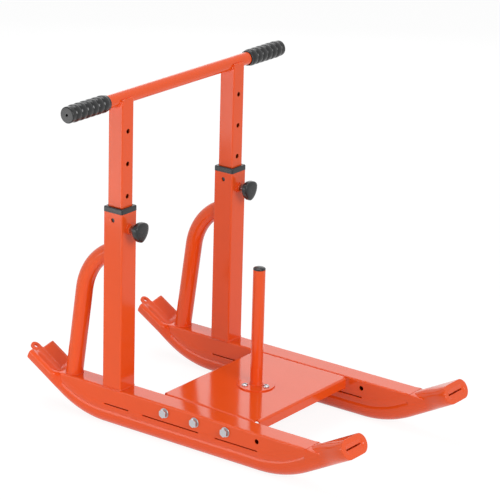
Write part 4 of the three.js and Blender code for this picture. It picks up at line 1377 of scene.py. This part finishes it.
class SLED_OT_stage(SledOperator, bpy.types.Operator):
    """Set up the white floor, the studio light and the camera"""

    bl_idname = "sled.stage"
    bl_label = "Stage"

    def floor(self):
        """White floor: its own colour under the lamps, and white to the camera and in reflections."""
        material, tree = new_material("white_studio_floor")
        share = add(tree, "ShaderNodeMath", {1: 0.8}, {0: background_share(tree)}, operation="MULTIPLY")
        paper = add(tree, "ShaderNodeBsdfDiffuse", {"Color": (*bpy.context.scene.sled_colours.floor, 1)})
        glow = add(tree, "ShaderNodeEmission", {"Strength": 1.12})
        parts = {0: share.outputs["Value"], 1: paper.outputs["BSDF"], 2: glow.outputs["Emission"]}
        both = add(tree, "ShaderNodeMixShader", {}, parts)
        add(tree, "ShaderNodeOutputMaterial", links={"Surface": both.outputs["Shader"]})
        bm = bmesh.new()
        bmesh.ops.create_grid(bm, x_segments=1, y_segments=1, size=40)
        obj = to_scene("studio_floor", to_mesh("studio_floor", bm))
        obj.data.materials.append(material)

    def sky(self):
        """White to the camera and in reflections, and a plain soft level on the sled."""
        world = bpy.data.worlds.new("white_studio")
        world.use_nodes = True
        tree = world.node_tree
        tree.nodes.clear()
        share = {"Value": background_share(tree)}
        strength = add(tree, "ShaderNodeMapRange", {"To Min": 0.36, "To Max": 1.0}, share).outputs["Result"]
        back = add(tree, "ShaderNodeBackground", {"Color": (1, 1, 1, 1)}, {"Strength": strength})
        add(tree, "ShaderNodeOutputWorld", links={"Surface": back.outputs["Background"]})
        bpy.context.scene.world = world

    def lamp(self, name, place, target, size, watts):
        """A softbox that faces a point, out of the camera's sight."""
        data = bpy.data.lights.new(name, "AREA")
        data.shape = "RECTANGLE"
        data.size, data.size_y = size
        data.energy = watts
        obj = to_scene(name, data)
        obj.visible_camera = False
        obj.location = place
        obj.rotation_euler = (Vector(target) - Vector(place)).to_track_quat("-Z", "Y").to_euler()

    def camera(self):
        """The camera, where the photograph was taken from."""
        data = bpy.data.cameras.new("photo_camera")
        data.lens = 186.17
        data.sensor_width = 36
        data.clip_end = 100
        obj = to_scene("photo_camera", data)
        obj.location = (-4.2498, -3.0934, 2.1878)
        target, roll = Vector((0.02485, 0.00669, 0.38467)), math.radians(1.537)
        turn = (target - obj.location).to_track_quat("-Z", "Y").to_matrix()
        obj.rotation_euler = (turn @ Matrix.Rotation(roll, 3, "Z")).to_euler()
        bpy.context.scene.camera = obj

    def execute(self, context):
        self.floor()
        self.sky()
        self.lamp("key_softbox", (-1.2, -3.0, 1.9), target=(0, 0, 0.3), size=(1.6, 1.6), watts=60)
        self.lamp("left_strip", (-1.3, 0.7, 0.24), target=(0, 0.7, 0.24), size=(1.3, 0.44), watts=5)
        self.lamp("back_softbox", (2.6, 1.9, 1.25), target=(0, 0, 0.3), size=(1.8, 1.8), watts=8)
        self.lamp("top_softbox", (0.3, 0.8, 3.4), target=(0, 0, 0.2), size=(2.0, 2.0), watts=38)
        self.camera()
        context.scene.view_settings.view_transform = "Standard"
        return {"FINISHED"}


class SLED_PT_panel(bpy.types.Panel):
    """The sled's sizes, colours and building steps"""

    bl_idname = "SLED_PT_panel"
    bl_label = "Drag Sled"
    bl_space_type = "VIEW_3D"
    bl_region_type = "UI"
    bl_category = "Sled"

    def draw(self, context):
        for operator in OPERATORS:
            self.layout.operator(operator.bl_idname)
        for title, group in (("Sizes", context.scene.sled_sizes), ("Colours", context.scene.sled_colours)):
            box = self.layout.box()
            box.label(text=title)
            for name in group.__annotations__:
                box.prop(group, name)


OPERATORS = (
    SLED_OT_runners,
    SLED_OT_beams,
    SLED_OT_uprights,
    SLED_OT_braces,
    SLED_OT_collars,
    SLED_OT_masts,
    SLED_OT_handlebar,
    SLED_OT_grips,
    SLED_OT_lock_screws,
    SLED_OT_deck,
    SLED_OT_deck_bolts,
    SLED_OT_post,
    SLED_OT_flange_screws,
    SLED_OT_hidden_parts,
    SLED_OT_stage,
)
CLASSES = (SledSizes, SledColours, *OPERATORS, SLED_PT_panel)


def register():
    """Registers the classes and hangs the sizes and colours on the scene."""
    for cls in CLASSES:
        bpy.utils.register_class(cls)
    bpy.types.Scene.sled_sizes = PointerProperty(type=SledSizes)
    bpy.types.Scene.sled_colours = PointerProperty(type=SledColours)


def unregister():
    """Takes the sizes, the colours and the classes away."""
    del bpy.types.Scene.sled_colours
    del bpy.types.Scene.sled_sizes
    for cls in reversed(CLASSES):
        bpy.utils.unregister_class(cls)


def main():
    """Builds everything in order."""
    register()
    bpy.ops.sled.runners()
    bpy.ops.sled.beams()
    bpy.ops.sled.uprights()
    bpy.ops.sled.braces()
    bpy.ops.sled.collars()
    bpy.ops.sled.masts()
    bpy.ops.sled.handlebar()
    bpy.ops.sled.grips()
    bpy.ops.sled.lock_screws()
    bpy.ops.sled.deck()
    bpy.ops.sled.deck_bolts()
    bpy.ops.sled.post()
    bpy.ops.sled.flange_screws()
    bpy.ops.sled.hidden_parts()
    bpy.ops.sled.stage()


if __name__ == "__main__":
    main()
